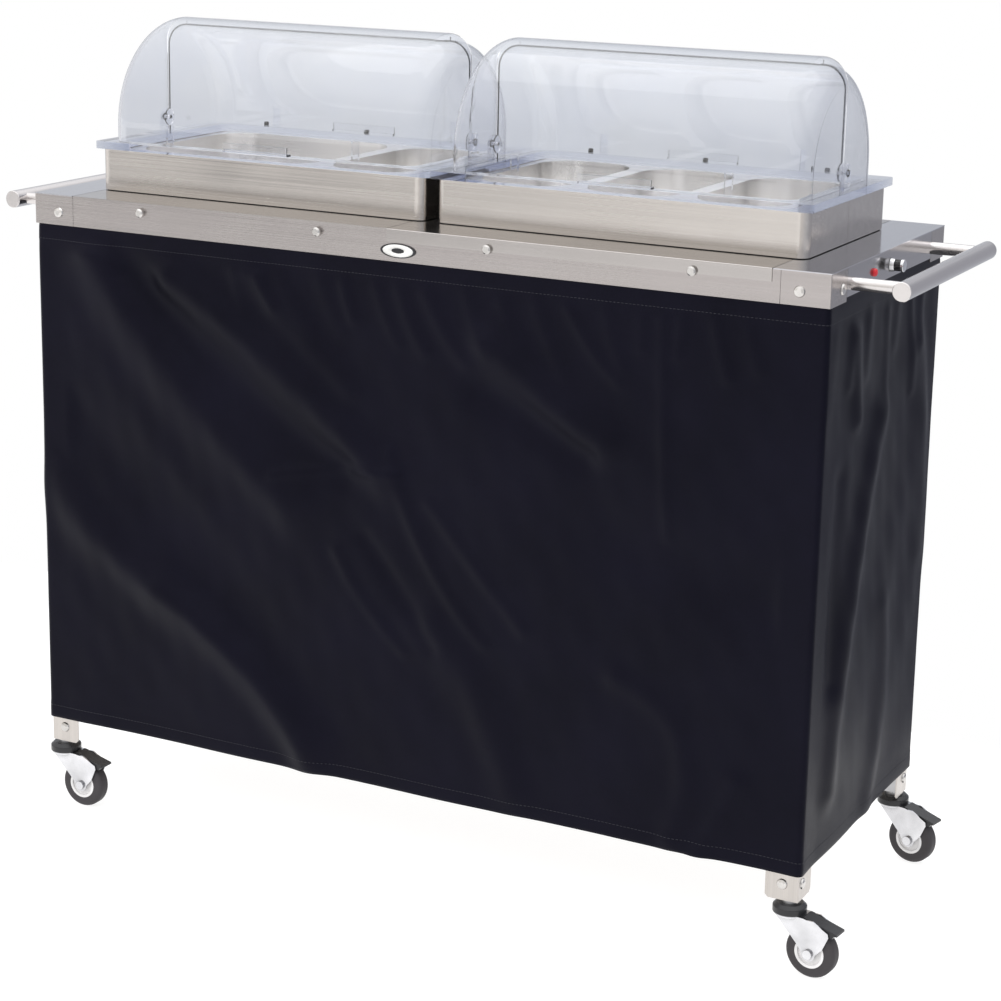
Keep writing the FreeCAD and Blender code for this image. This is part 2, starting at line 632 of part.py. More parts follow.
def make_knob():
    """Black grip of the control knob, a ribbed barrel with a raised finger bar."""
    start = HALF_LENGTH + KNOB_GAP + KNOB_SKIRT_HEIGHT
    grip = rod((start, 0, CONTROL_Z), X_AXIS, KNOB_RADIUS, KNOB_GRIP_HEIGHT)
    ribs = []
    for step in range(12):
        angle = math.radians(30 * step)
        y = (KNOB_RADIUS + 0.4) * math.cos(angle)
        z = CONTROL_Z + (KNOB_RADIUS + 0.4) * math.sin(angle)
        ribs.append(rod((start - 1, y, z), X_AXIS, 1.0, KNOB_GRIP_HEIGHT + 2))
    bore = rod((HALF_LENGTH, 0, CONTROL_Z), X_AXIS, SHAFT_RADIUS + PIN_CLEARANCE, SHAFT_REACH + 0.5)
    return cut_all(grip, ribs + [bore])


def make_knob_trim():
    """Bright skirt under the knob grip and bright cap on its end."""
    start = HALF_LENGTH + KNOB_GAP
    skirt = Part.makeCone(KNOB_SKIRT_RADIUS, KNOB_RADIUS + 0.5, KNOB_SKIRT_HEIGHT,
                          FreeCAD.Vector(start, 0, CONTROL_Z), X_AXIS)
    bore = rod((HALF_LENGTH, 0, CONTROL_Z), X_AXIS, SHAFT_RADIUS + PIN_CLEARANCE, SHAFT_REACH + 0.5)
    cap_start = start + KNOB_SKIRT_HEIGHT + KNOB_GRIP_HEIGHT
    cap = rod((cap_start, 0, CONTROL_Z), X_AXIS, KNOB_RADIUS + 0.8, KNOB_CAP_HEIGHT)
    rim = [edge for edge in cap.Edges if edge.BoundBox.XMin > cap_start + KNOB_CAP_HEIGHT - 0.01]
    cap = cap.makeFillet(1.5, rim)
    return [skirt.cut(bore), cap.cut(bore)]


def make_lamp():
    """Red pilot lamp: a domed lens on a body that passes through the panel."""
    body = rod((HALF_LENGTH, LAMP_Y, CONTROL_Z), -X_AXIS, LAMP_BODY_RADIUS, LAMP_BODY_LENGTH)
    lens = rod((HALF_LENGTH, LAMP_Y, CONTROL_Z), X_AXIS, LAMP_LENS_RADIUS, LAMP_REACH)
    rim = [edge for edge in lens.Edges if edge.BoundBox.XMin > HALF_LENGTH + LAMP_REACH - 0.01]
    return fused([body, lens.makeFillet(3.5, rim)])


def make_badge():
    """Blank oval badge plate on the front apron."""
    centre = FreeCAD.Vector(BADGE_X, -HALF_WIDTH, DECK_HEIGHT - BADGE_DROP)
    outline = Part.Ellipse(HERE, BADGE_LENGTH / 2, BADGE_HEIGHT / 2).toShape()
    plate = Part.Face(Part.Wire([outline])).extrude(Z_AXIS * BADGE_THICKNESS)
    plate.rotate(HERE, X_AXIS, 90)
    plate.translate(centre)
    return plate


def make_inlet():
    """Recessed power inlet in the back apron."""
    flange = block((INLET_X - INLET_LENGTH / 2, INLET_X + INLET_LENGTH / 2), (HALF_WIDTH, HALF_WIDTH + 3),
                   (CONTROL_Z - INLET_HEIGHT / 2, CONTROL_Z + INLET_HEIGHT / 2))
    flange = flange.makeFillet(4, [edge for edge in flange.Edges if edge.BoundBox.YLength > 2.9])
    wide = INLET_LENGTH - 2 * INLET_FLANGE - 1
    tall = INLET_HEIGHT - 2 * INLET_FLANGE - 1
    body = block((INLET_X - wide / 2, INLET_X + wide / 2), (HALF_WIDTH - INLET_DEPTH, HALF_WIDTH + 1),
                 (CONTROL_Z - tall / 2, CONTROL_Z + tall / 2))
    socket = block((INLET_X - wide / 2 + 7, INLET_X + wide / 2 - 7),
                   (HALF_WIDTH - INLET_DEPTH + 8, HALF_WIDTH + 5),
                   (CONTROL_Z - tall / 2 + 2, CONTROL_Z + tall / 2 - 2))
    inlet = fused([flange, body]).cut(socket)
    blades = [block((INLET_X + place - 1, INLET_X + place + 1),
                    (HALF_WIDTH - INLET_DEPTH + 7, HALF_WIDTH - 6), (CONTROL_Z - 3, CONTROL_Z + 3))
              for place in (-7, 0, 7)]
    return fused([inlet] + blades)


# ---- warming units, made about the Z axis -----------------------------------
def make_housing():
    """Brushed wrapper with a top land round the pans and an in-turned foot on the gasket."""
    shell = rounded_block(HOUSING_LENGTH, HOUSING_WIDTH, (HOUSING_BOTTOM, HOUSING_TOP), HOUSING_CORNER)
    shell = shell.makeFillet(HOUSING_EDGE, edges_at(shell, HOUSING_TOP))
    inside = rounded_block(HOUSING_LENGTH - 2 * SHEET, HOUSING_WIDTH - 2 * SHEET,
                           (HOUSING_BOTTOM + SHEET, RIM_SEAT), HOUSING_CORNER - SHEET)
    top = rounded_block(PAN_FIELD_LENGTH + 2 * RIM_OPENING_GAP, PAN_FIELD_WIDTH + 2 * RIM_OPENING_GAP,
                        (RIM_SEAT - 1, HOUSING_TOP + 1), HOUSING_CORNER)
    foot = rounded_block(HOUSING_LENGTH - 4 * GASKET_WIDTH, HOUSING_WIDTH - 2 * GASKET_WIDTH - 6,
                         (HOUSING_BOTTOM - 1, HOUSING_BOTTOM + 2 * SHEET), HOUSING_CORNER)
    groove = block((-HOUSING_LENGTH, HOUSING_LENGTH), (-WRAPPER_SEAM / 2, WRAPPER_SEAM / 2),
                   (HOUSING_BOTTOM - 1, HOUSING_TOP - 2 * SHEET))
    core = block((-HOUSING_LENGTH / 2 + WRAPPER_SEAM / 2, HOUSING_LENGTH / 2 - WRAPPER_SEAM / 2),
                 (-HOUSING_WIDTH / 2, HOUSING_WIDTH / 2), (0, 2 * HOUSING_TOP))
    return cut_all(shell, [inside, top, foot, groove.cut(core)])


def make_gasket():
    """Black gasket between the housing foot and the deck."""
    length = HOUSING_LENGTH - 2 * GASKET_INSET
    width = HOUSING_WIDTH - 2 * GASKET_INSET
    radius = HOUSING_CORNER - GASKET_INSET
    outer = rounded_block(length, width, (DECK_HEIGHT, HOUSING_BOTTOM), radius)
    inner = rounded_block(length - 2 * GASKET_WIDTH, width - 2 * GASKET_WIDTH,
                          (DECK_HEIGHT - 1, HOUSING_BOTTOM + 1), radius)
    return outer.cut(inner)


def make_well():
    """Water well: a deep tub that hangs by its flange under the housing's top."""
    flange_width = min(WELL_WIDTH + 2 * WELL_FLANGE, HOUSING_WIDTH - 2 * SHEET - 1)
    flange = rounded_block(WELL_LENGTH + 2 * WELL_FLANGE, flange_width,
                           (RIM_SEAT - SHEET, RIM_SEAT), HOUSING_CORNER - SHEET)
    tub = rounded_block(WELL_LENGTH + 2 * WELL_SHEET, WELL_WIDTH + 2 * WELL_SHEET,
                        (WELL_BOTTOM, RIM_SEAT), WELL_CORNER + WELL_SHEET)
    tub = tub.makeFillet(WELL_FLOOR_RADIUS, edges_at(tub, WELL_BOTTOM))
    hollow = rounded_block(WELL_LENGTH, WELL_WIDTH, (WELL_BOTTOM + WELL_SHEET, RIM_SEAT + 1), WELL_CORNER)
    hollow = hollow.makeFillet(WELL_FLOOR_RADIUS - WELL_SHEET, edges_at(hollow, WELL_BOTTOM + WELL_SHEET))
    holes = [rod((0, sign * ELEMENT_BEND, WELL_BOTTOM + ELEMENT_RISE), X_AXIS,
                 ELEMENT_RADIUS + HOLE_CLEARANCE, WELL_LENGTH) for sign in (-1, 1)]
    return cut_all(fused([flange, tub]), [hollow] + holes)


def make_element():
    """Hairpin tubular heater with its two ends out through the well wall, and two gland nuts."""
    z = WELL_BOTTOM + ELEMENT_RISE
    tip = -WELL_LENGTH / 2 + ELEMENT_BEND + 20
    tail = WELL_LENGTH / 2 + ELEMENT_TAIL
    run_a = Part.LineSegment(FreeCAD.Vector(tail, ELEMENT_BEND, z), FreeCAD.Vector(tip, ELEMENT_BEND, z))
    bend = Part.Arc(FreeCAD.Vector(tip, ELEMENT_BEND, z), FreeCAD.Vector(tip - ELEMENT_BEND, 0, z),
                    FreeCAD.Vector(tip, -ELEMENT_BEND, z))
    run_b = Part.LineSegment(FreeCAD.Vector(tip, -ELEMENT_BEND, z), FreeCAD.Vector(tail, -ELEMENT_BEND, z))
    path = Part.Wire([run_a.toShape(), bend.toShape(), run_b.toShape()])
    section = Part.Wire([Part.Circle(FreeCAD.Vector(tail, ELEMENT_BEND, z), -X_AXIS, ELEMENT_RADIUS).toShape()])
    pieces = [path.makePipeShell([section], True, False)]
    for sign in (-1, 1):
        start = (WELL_LENGTH / 2 + WELL_SHEET, sign * ELEMENT_BEND, z)
        nut = rod(start, X_AXIS, ELEMENT_NUT, ELEMENT_NUT)
        pieces.append(nut.cut(rod(start, X_AXIS, ELEMENT_RADIUS, ELEMENT_NUT)))
    return pieces


def make_pan(length):
    """Deep-drawn food pan of a given rim length, hanging by its flat rim."""
    width = PAN_FIELD_WIDTH - PAN_GAP
    floor = RIM_SEAT - PAN_DEPTH
    rim = rounded_block(length, width, (RIM_SEAT, RIM_SEAT + PAN_RIM_THICKNESS), HOUSING_CORNER - 2)
    body_length = length - 2 * PAN_RIM_WIDTH
    body_width = width - 2 * PAN_RIM_WIDTH
    body = rounded_block(body_length, body_width, (floor, RIM_SEAT + PAN_RIM_THICKNESS / 2), PAN_CORNER)
    body = body.makeFillet(PAN_FLOOR_RADIUS + PAN_WALL, edges_at(body, floor))
    hollow = rounded_block(body_length - 2 * PAN_WALL, body_width - 2 * PAN_WALL,
                           (floor + PAN_WALL, HOUSING_TOP), PAN_CORNER - PAN_WALL)
    hollow = hollow.makeFillet(PAN_FLOOR_RADIUS, edges_at(hollow, floor + PAN_WALL))
    return fused([rim, body]).cut(hollow)


def place_pans():
    """One two-thirds pan and four third pans, side by side in the two fields."""
    third = PAN_FIELD_LENGTH / THIRDS_PER_FIELD
    small = make_pan(third - PAN_GAP)
    large = make_pan(2 * third - PAN_GAP)
    keep("pan_two_thirds", moved(large, x=-UNIT_X - third / 2))
    thirds = [moved(small, x=-UNIT_X + third)]
    for step in (-1, 0, 1):
        thirds.append(moved(small, x=UNIT_X + step * third))
    keep("third_pans", thirds)


# ---- roll-top lids, made about the Z axis ------------------------------------
def half_section(half_length, radius, corner):
    """Half section of a door: a rectangle above the pivot line with rounded outer corners."""
    inner = half_length - corner
    top = radius - corner
    diagonal = corner * math.sqrt(0.5)
    edges = [
        Part.LineSegment(FreeCAD.Vector(-half_length, 0, 0), FreeCAD.Vector(-half_length, 0, top)),
        Part.Arc(FreeCAD.Vector(-half_length, 0, top), FreeCAD.Vector(-inner - diagonal, 0, top + diagonal),
                 FreeCAD.Vector(-inner, 0, radius)),
        Part.LineSegment(FreeCAD.Vector(-inner, 0, radius), FreeCAD.Vector(inner, 0, radius)),
        Part.Arc(FreeCAD.Vector(inner, 0, radius), FreeCAD.Vector(inner + diagonal, 0, top + diagonal),
                 FreeCAD.Vector(half_length, 0, top)),
        Part.LineSegment(FreeCAD.Vector(half_length, 0, top), FreeCAD.Vector(half_length, 0, 0)),
        Part.LineSegment(FreeCAD.Vector(half_length, 0, 0), FreeCAD.Vector(-half_length, 0, 0)),
    ]
    return Part.Face(Part.Wire([edge.toShape() for edge in edges]))


def quarter_form(half_length, radius, corner, drop):
    """A quarter drum on the +Y side of the pivot with a straight skirt below it, pivot at the origin."""
    section = half_section(half_length, radius, corner)
    drum = section.revolve(HERE, X_AXIS, -90)
    flat = section.copy()
    flat.rotate(HERE, X_AXIS, -90)
    skirt = flat.extrude(-Z_AXIS * drop)
    return drum.fuse(skirt).removeSplitter()


def make_door(half_length, radius, corner):
    """Clear roll-top door on the +Y side: a quarter shell with end walls and pivot lobes."""
    outer = quarter_form(half_length, radius, corner, DOOR_SKIRT)
    inner = quarter_form(half_length - DOOR_WALL, radius - DOOR_WALL, corner - DOOR_WALL, 2 * DOOR_SKIRT)
    shell = outer.cut(inner)
    lobes = [rod((sign * (half_length - DOOR_WALL / 2) - DOOR_WALL / 2, 0, 0), X_AXIS, DOOR_LOBE, DOOR_WALL)
             for sign in (-1, 1)]
    below = block((-half_length, half_length), (-DOOR_LOBE, 0), (-DOOR_LOBE, -DOOR_SKIRT))
    pin = rod((-half_length - 1, 0, 0), X_AXIS, PIVOT_PIN_RADIUS + PIN_CLEARANCE, 2 * half_length + 2)
    lobed = fused([shell] + lobes)
    return cut_all(lobed, [pin, moved(below, z=-DOOR_SKIRT)])


def make_tab(radius, reach, lip_thickness):
    """Grip tab on the low edge of a door on the +Y side: a shelf with an upturned lip."""
    low = TAB_RISE - DOOR_SKIRT
    shelf = block((-TAB_LENGTH / 2, TAB_LENGTH / 2), (radius - DOOR_WALL / 2, radius + reach),
                  (low, low + TAB_SHEET))
    lip = block((-TAB_LENGTH / 2, TAB_LENGTH / 2), (radius + reach - lip_thickness, radius + reach),
                (low, low + TAB_HEIGHT))
    tab = fused([shelf, lip])
    return tab.makeFillet(lip_thickness * 0.6, [edge for edge in tab.Edges if is_upright(edge)
                                                and edge.BoundBox.YMin > radius + reach - 0.01])


def make_front_door():
    """Outer door, which closes the customer side."""
    tab = make_tab(DOOR_RADIUS, TAB_REACH, TAB_SHEET)
    door = fused([make_door(DOOR_HALF, DOOR_RADIUS, DOOR_END_RADIUS), tab])
    return moved(flip_y(door), z=DOOR_AXIS_Z)


def make_rear_door():
    """Inner door, which closes the operator side; its tab and ridge lip pass under the outer door."""
    half = DOOR_HALF - DOOR_NEST_X
    radius = DOOR_RADIUS - DOOR_NEST_R
    corner = DOOR_END_RADIUS - DOOR_NEST_X
    door = make_door(half, radius, corner)
    room = DOOR_RADIUS - DOOR_WALL - NESTED_CLEARANCE
    tab = make_tab(radius, math.sqrt(room ** 2 - DOOR_SKIRT ** 2) - radius, REAR_LIP_THICKNESS)
    lip_half = half - corner
    lip = block((-lip_half, lip_half), (0, LIP_THICKNESS), (radius - DOOR_WALL / 2, radius + LIP_HEIGHT))
    return moved(fused([door, tab, lip]), z=DOOR_AXIS_Z)


def make_lid_frame():
    """Clear moulded frame that sits on the housing, with door guides and pivot brackets."""
    rail = rounded_block(LID_LENGTH, LID_WIDTH, (LID_BOTTOM, LID_TOP), LID_CORNER)
    rail = rail.makeFillet(LID_EDGE, edges_at(rail, LID_TOP))
    hole = rounded_block(LID_LENGTH - 2 * LID_END_RAIL, LID_WIDTH - 2 * LID_SIDE_RAIL,
                         (LID_BOTTOM - 1, LID_TOP + 1), LID_OPENING_CORNER)
    parts = [rail.cut(hole)]
    guide_y = DOOR_RADIUS - DOOR_NEST_R + LUG_GAP
    for sx in (-1, 1):
        for sy in (-1, 1):
            parts.append(block((sx * LUG_X - LUG_LENGTH / 2, sx * LUG_X + LUG_LENGTH / 2),
                               (sy * guide_y, sy * (guide_y + LUG_THICKNESS)), (LID_TOP - 1, LID_TOP + LUG_HEIGHT)))
        near = DOOR_HALF + BRACKET_GAP
        span = (sx * near, sx * (near + PIVOT_BRACKET))
        parts.append(block(span, (-DOOR_LOBE, DOOR_LOBE), (LID_TOP - 1, DOOR_AXIS_Z)))
        parts.append(rod((min(span), 0, DOOR_AXIS_Z), X_AXIS, DOOR_LOBE, PIVOT_BRACKET))
    pin = rod((-LID_LENGTH / 2, 0, DOOR_AXIS_Z), X_AXIS, PIVOT_PIN_RADIUS, LID_LENGTH)
    return fused(parts).cut(pin)


def make_pivot_pins():
    """Headed pins that both doors turn on, one at each end of a lid."""
    outside = DOOR_HALF + BRACKET_GAP + PIVOT_BRACKET
    inside = DOOR_HALF - DOOR_NEST_X - DOOR_WALL - BRACKET_GAP
    neck = PIVOT_HEAD_RADIUS - 1
    profile = [(inside - PIVOT_HEAD_HEIGHT, 0), (inside - PIVOT_HEAD_HEIGHT, neck), (inside, neck),
               (inside, PIVOT_PIN_RADIUS), (outside, PIVOT_PIN_RADIUS), (outside, PIVOT_HEAD_RADIUS),
               (outside + PIVOT_HEAD_HEIGHT, neck), (outside + PIVOT_HEAD_HEIGHT, 0)]
    pin = turned(profile, (0, 0, DOOR_AXIS_Z))
    return [pin, flip_x(pin)]


def make_bumpers():
    """Three small rubber stops on the rear rail of a lid."""
    y = DOOR_RADIUS + BUMPER_RADIUS + NESTED_CLEARANCE / 2
    stops = []
    for step in (-1, 0, 1):
        stop = rod((step * BUMPER_X, y, LID_TOP), Z_AXIS, BUMPER_RADIUS, BUMPER_HEIGHT)
        stops.append(stop.makeChamfer(BUMPER_RADIUS / 4, edges_at(stop, LID_TOP + BUMPER_HEIGHT)))
    return stops


# ---- casters, made about the swivel axis with the wheel trailing along +X -----
def plate_from(points, y_span):
    """A flat plate from side-view (x, z) points, between two values across the caster."""
    corners = [FreeCAD.Vector(x, y_span[0], z) for x, z in points]
    face = Part.Face(Part.makePolygon(corners + [corners[0]]))
    return face.extrude(Y_AXIS * (y_span[1] - y_span[0]))


def make_caster_mount():
    """Stem block for the leg corner and the stem with its collar and bearing nut."""
    half_x = PIVOT_INSET_X - LEG_SHEET
    half_y = PIVOT_INSET_Y - LEG_SHEET
    body = block((-half_x, half_x), (-half_y, half_y), (LEG_BOTTOM, LEG_BOTTOM + MOUNT_BLOCK_HEIGHT))
    stem = rod((0, 0, CROWN_BOTTOM - BEARING_GAP), Z_AXIS, STEM_RADIUS,
               LEG_BOTTOM - CROWN_BOTTOM + BEARING_GAP + STEM_LENGTH)
    collar = rod((0, 0, CUP_TOP), Z_AXIS, min(STEM_COLLAR_RADIUS, half_y), STEM_COLLAR_HEIGHT)
    nut = rod((0, 0, CROWN_BOTTOM - BEARING_GAP - STEM_NUT_HEIGHT), Z_AXIS, STEM_NUT_RADIUS, STEM_NUT_HEIGHT)
    bore = rod((0, 0, LEG_BOTTOM), Z_AXIS, STEM_RADIUS, MOUNT_BLOCK_HEIGHT)
    bolt_y = rod((-FOOT_BOLT_OFFSET_X, PIVOT_INSET_Y, FOOT_BOLT_Z), -Y_AXIS, FOOT_BOLT_RADIUS, FOOT_BOLT_GRIP)
    bolt_x = rod((PIVOT_INSET_X, -FOOT_BOLT_OFFSET_Y, FOOT_BOLT_Z), -X_AXIS, FOOT_BOLT_RADIUS, FOOT_BOLT_GRIP)
    return [cut_all(body, [bore, bolt_y, bolt_x]), fused([stem, collar, nut])]


def make_cup():
    """Black bearing cup under the leg."""
    rim_top = CUP_BOTTOM + CUP_RIM_HEIGHT
    profile = [(0, CUP_BOTTOM), (CUP_RADIUS, CUP_BOTTOM), (CUP_RADIUS, rim_top), (CUP_NECK_RADIUS, CUP_TOP),
               (0, CUP_TOP)]
    points = [FreeCAD.Vector(r, 0, z) for r, z in profile]
    cup = Part.Face(Part.makePolygon(points + [points[0]])).revolve(HERE, Z_AXIS, 360)
    cup = cup.makeFillet(2.0, edges_at(cup, rim_top))
    return cup.cut(rod((0, 0, CUP_BOTTOM - 1), Z_AXIS, STEM_RADIUS, CUP_HEIGHT + 2))


def make_fork():
    """Pressed fork: a crown round the stem, two cheeks, the axle and the pedal pin."""
    crown = rod((0, 0, CROWN_BOTTOM), Z_AXIS, CROWN_RADIUS, CROWN_SHEET)
    web = block((0, CROWN_END), (-CHEEK_OUTER, CHEEK_OUTER), (CROWN_BOTTOM, CROWN_TOP))
    parts = [crown, web]
    side = [(-CHEEK_INNER, CROWN_TOP), (-CHEEK_INNER, CROWN_BOTTOM - 2), (CASTER_TRAIL - 17, WHEEL_RADIUS + 9),
            (CASTER_TRAIL - CHEEK_FOOT, WHEEL_RADIUS), (CASTER_TRAIL + CHEEK_FOOT, WHEEL_RADIUS),
            (CASTER_TRAIL + 22, WHEEL_RADIUS + 12), (CASTER_TRAIL + 31, WHEEL_RADIUS + 33),
            (CASTER_TRAIL + 30, WHEEL_RADIUS + 39), (CASTER_TRAIL + 5, PEDAL_PIN_Z + 5),
            (CASTER_TRAIL - 5, PEDAL_PIN_Z + 5), (CROWN_END + 2, CROWN_TOP)]
    for sign in (-1, 1):
        across = (sign * CHEEK_INNER, sign * CHEEK_OUTER)
        parts.append(plate_from(side, (min(across), max(across))))
        parts.append(rod((CASTER_TRAIL, min(across), WHEEL_RADIUS), Y_AXIS, CHEEK_FOOT, CHEEK_SHEET))
        head = CHEEK_OUTER if sign > 0 else -CHEEK_OUTER - AXLE_HEAD_HEIGHT
        parts.append(rod((CASTER_TRAIL, head, WHEEL_RADIUS), Y_AXIS, AXLE_HEAD_RADIUS, AXLE_HEAD_HEIGHT))
    for centre, radius in ((WHEEL_RADIUS, AXLE_RADIUS), (PEDAL_PIN_Z, PEDAL_PIN_RADIUS)):
        parts.append(rod((CASTER_TRAIL, -CHEEK_OUTER, centre), Y_AXIS, radius, 2 * CHEEK_OUTER))
    return fused(parts).cut(rod((0, 0, 0), Z_AXIS, STEM_RADIUS + PIN_CLEARANCE, CROWN_TOP + 1))


def make_hub():
    """Wheel hub with a recessed web on each side."""
    profile = [(-HUB_HALF_WIDTH, AXLE_RADIUS + PIN_CLEARANCE), (-HUB_HALF_WIDTH, 8), (-HUB_HALF_WIDTH + 4, 9),
               (-HUB_HALF_WIDTH + 4, HUB_RADIUS - 5), (-HUB_HALF_WIDTH + 1, HUB_RADIUS - 4),
               (-HUB_HALF_WIDTH + 1, HUB_RADIUS)]
    profile += [(-x, r) for x, r in reversed(profile)]
    hub = turned(profile, (0, 0, 0))
    hub.rotate(HERE, Z_AXIS, 90)
    return moved(hub, CASTER_TRAIL, 0, WHEEL_RADIUS)


def make_tyre():
    """Solid rubber tyre with rounded shoulders."""
    tyre = rod((CASTER_TRAIL, -TYRE_WIDTH / 2, WHEEL_RADIUS), Y_AXIS, WHEEL_RADIUS, TYRE_WIDTH)
    tyre = tyre.makeFillet(TYRE_EDGE, [edge for edge in tyre.Edges if edge.BoundBox.YLength < 0.01])
    return tyre.cut(rod((CASTER_TRAIL, -TYRE_WIDTH, WHEEL_RADIUS), Y_AXIS, HUB_RADIUS, 2 * TYRE_WIDTH))


def make_pedal():
    """Brake pedal on its pin above the wheel, with the shoe that presses on the tyre."""
    rise = PEDAL_PIN_Z - WHEEL_RADIUS
    side = [(-11, rise + 7.5), (43, rise - 7), (43.5, rise - 10), (38, rise - 10.5), (36, rise - 15),
            (31, rise - 14), (25, rise - 8.5), (14, rise - 3), (0, rise - 3.4), (-9, rise - 2)]
    points = [(CASTER_TRAIL + x, WHEEL_RADIUS + z) for x, z in side]
    pedal = plate_from(points, (-HUB_HALF_WIDTH, HUB_HALF_WIDTH))
    pin = rod((CASTER_TRAIL, -TYRE_WIDTH, PEDAL_PIN_Z), Y_AXIS, PEDAL_PIN_RADIUS + PIN_CLEARANCE, 2 * TYRE_WIDTH)
    return pedal.cut(pin)


def place_casters():
    """Four casters, each turned to its own heading about its swivel axis."""
    mount_pair = make_caster_mount()
    cup = make_cup()
    rolling = {"fork": make_fork(), "hub": make_hub(), "tyre": make_tyre(), "pedal": make_pedal()}
    mounts = []
    cups = []
    for corner, (sx, sy) in CORNERS.items():
        for piece in mount_pair:
            mounts.append(to_corner(moved(piece, PIVOT_X, PIVOT_Y), sx, sy))
        cups.append(moved(cup, sx * PIVOT_X, sy * PIVOT_Y))
        for name, shape in rolling.items():
            piece = shape.copy()
            piece.rotate(HERE, Z_AXIS, HEADINGS[corner])
            keep(name + "_" + corner, moved(piece, sx * PIVOT_X, sy * PIVOT_Y))
    keep("caster_mounts", mounts)
    keep("caster_cups", cups)


# ---- the whole table ----------------------------------------------------------
def build():
    """Makes every piece and stores it under its name."""
    leg = make_leg()
    plate = make_corner_plate()
    for corner, (sx, sy) in CORNERS.items():
        keep("leg_" + corner, to_corner(leg, sx, sy))
    keep("corner_plates", [to_corner(plate, sx, sy) for sx, sy in CORNERS.values()])
    apron = make_apron()
    keep("apron_front", flip_y(apron))
    keep("apron_back", apron.cut(inlet_hole()))
    panel = make_end_panel()
    keep("end_panel_left", flip_x(panel))
    keep("end_panel_right", cut_all(panel, control_holes()))
    keep("bay_plate_left", make_bay_plate(-SEAM_X + SEAM, BAY_SEAM_X - SEAM, -1, False))
    keep("bay_plate_right", make_bay_plate(BAY_SEAM_X + SEAM, BAY_RIGHT_X - SEAM, 1, True))
    keep("deck_ends", [make_deck_end(-HALF_LENGTH, -SEAM_X - SEAM), make_deck_end(BAY_RIGHT_X + SEAM, HALF_LENGTH)])
    keep("deck_crossbar", make_crossbar())
    keep("lower_shelf", make_shelf())
    keep("skirt", make_skirt())
    keep("frame_bolts", make_frame_bolts())
    keep("deck_studs", make_studs())
    handle = make_handle()
    keep("handle_right", handle)
    keep("handle_left", flip_x(handle))
    keep("thermostat", make_thermostat())
    keep("control_knob", make_knob())
    keep("knob_trim", make_knob_trim())
    keep("pilot_lamp", make_lamp())
    keep("badge", make_badge())
    keep("power_inlet", make_inlet())
    place_pans()
    gasket = make_gasket()
    well = make_well()
    element = make_element()
    keep("housing_gaskets", [moved(gasket, x=sign * UNIT_X) for sign in SIDES.values()])
    keep("wells", [moved(well, x=sign * UNIT_X) for sign in SIDES.values()])
    keep("heating_elements", [moved(piece, x=sign * UNIT_X) for sign in SIDES.values() for piece in element])
    per_side = {"housing": [make_housing()], "lid_frame": [make_lid_frame()], "pivot_pins": make_pivot_pins(),
                "lid_bumpers": make_bumpers(), "front_door": [make_front_door()], "rear_door": [make_rear_door()]}
    for side, sign in SIDES.items():
        for name, pieces in per_side.items():
            keep(name + "_" + side, [moved(piece, x=sign * UNIT_X) for piece in pieces])
    place_casters()


def save():
    """Writes one file for each piece."""
    os.makedirs("parts", exist_ok=True)
    for name, shapes in nodes.items():
        whole = shapes[0] if len(shapes) == 1 else Part.makeCompound(shapes)
        whole.exportStep("parts/" + name + ".step")


build()
save()
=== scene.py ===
import math
import random

import bpy
import bmesh
import numpy as np
from mathutils import Matrix, Vector


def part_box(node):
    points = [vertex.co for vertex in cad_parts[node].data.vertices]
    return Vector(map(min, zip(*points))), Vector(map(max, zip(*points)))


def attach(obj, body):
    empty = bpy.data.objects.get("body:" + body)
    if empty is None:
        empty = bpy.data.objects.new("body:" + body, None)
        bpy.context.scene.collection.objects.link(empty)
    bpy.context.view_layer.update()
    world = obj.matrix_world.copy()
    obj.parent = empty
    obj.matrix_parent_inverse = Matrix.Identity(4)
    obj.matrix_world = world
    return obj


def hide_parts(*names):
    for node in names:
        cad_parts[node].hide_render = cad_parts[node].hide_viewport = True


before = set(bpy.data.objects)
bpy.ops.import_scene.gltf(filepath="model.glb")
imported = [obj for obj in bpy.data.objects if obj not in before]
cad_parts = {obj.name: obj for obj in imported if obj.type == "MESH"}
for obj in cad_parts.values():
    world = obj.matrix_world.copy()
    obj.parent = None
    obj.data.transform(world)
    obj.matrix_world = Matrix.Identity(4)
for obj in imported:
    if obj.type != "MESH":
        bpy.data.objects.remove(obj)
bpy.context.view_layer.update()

SCENE = bpy.context.scene
UP = Vector((0, 0, 1))

# ---- camera ------------------------------------------------------------------
CAMERA_PLACE = Vector((1.7599, -3.3801, 1.6178))
CAMERA_AZIMUTH = math.radians(26.515)
CAMERA_ELEVATION = math.radians(13.801)
CAMERA_ROLL = math.radians(1.216)
CAMERA_LENS = 87.515
CAMERA_SHIFT = (-0.0181, -0.0682)
SENSOR_WIDTH = 36.0
CLIP_START = 0.05


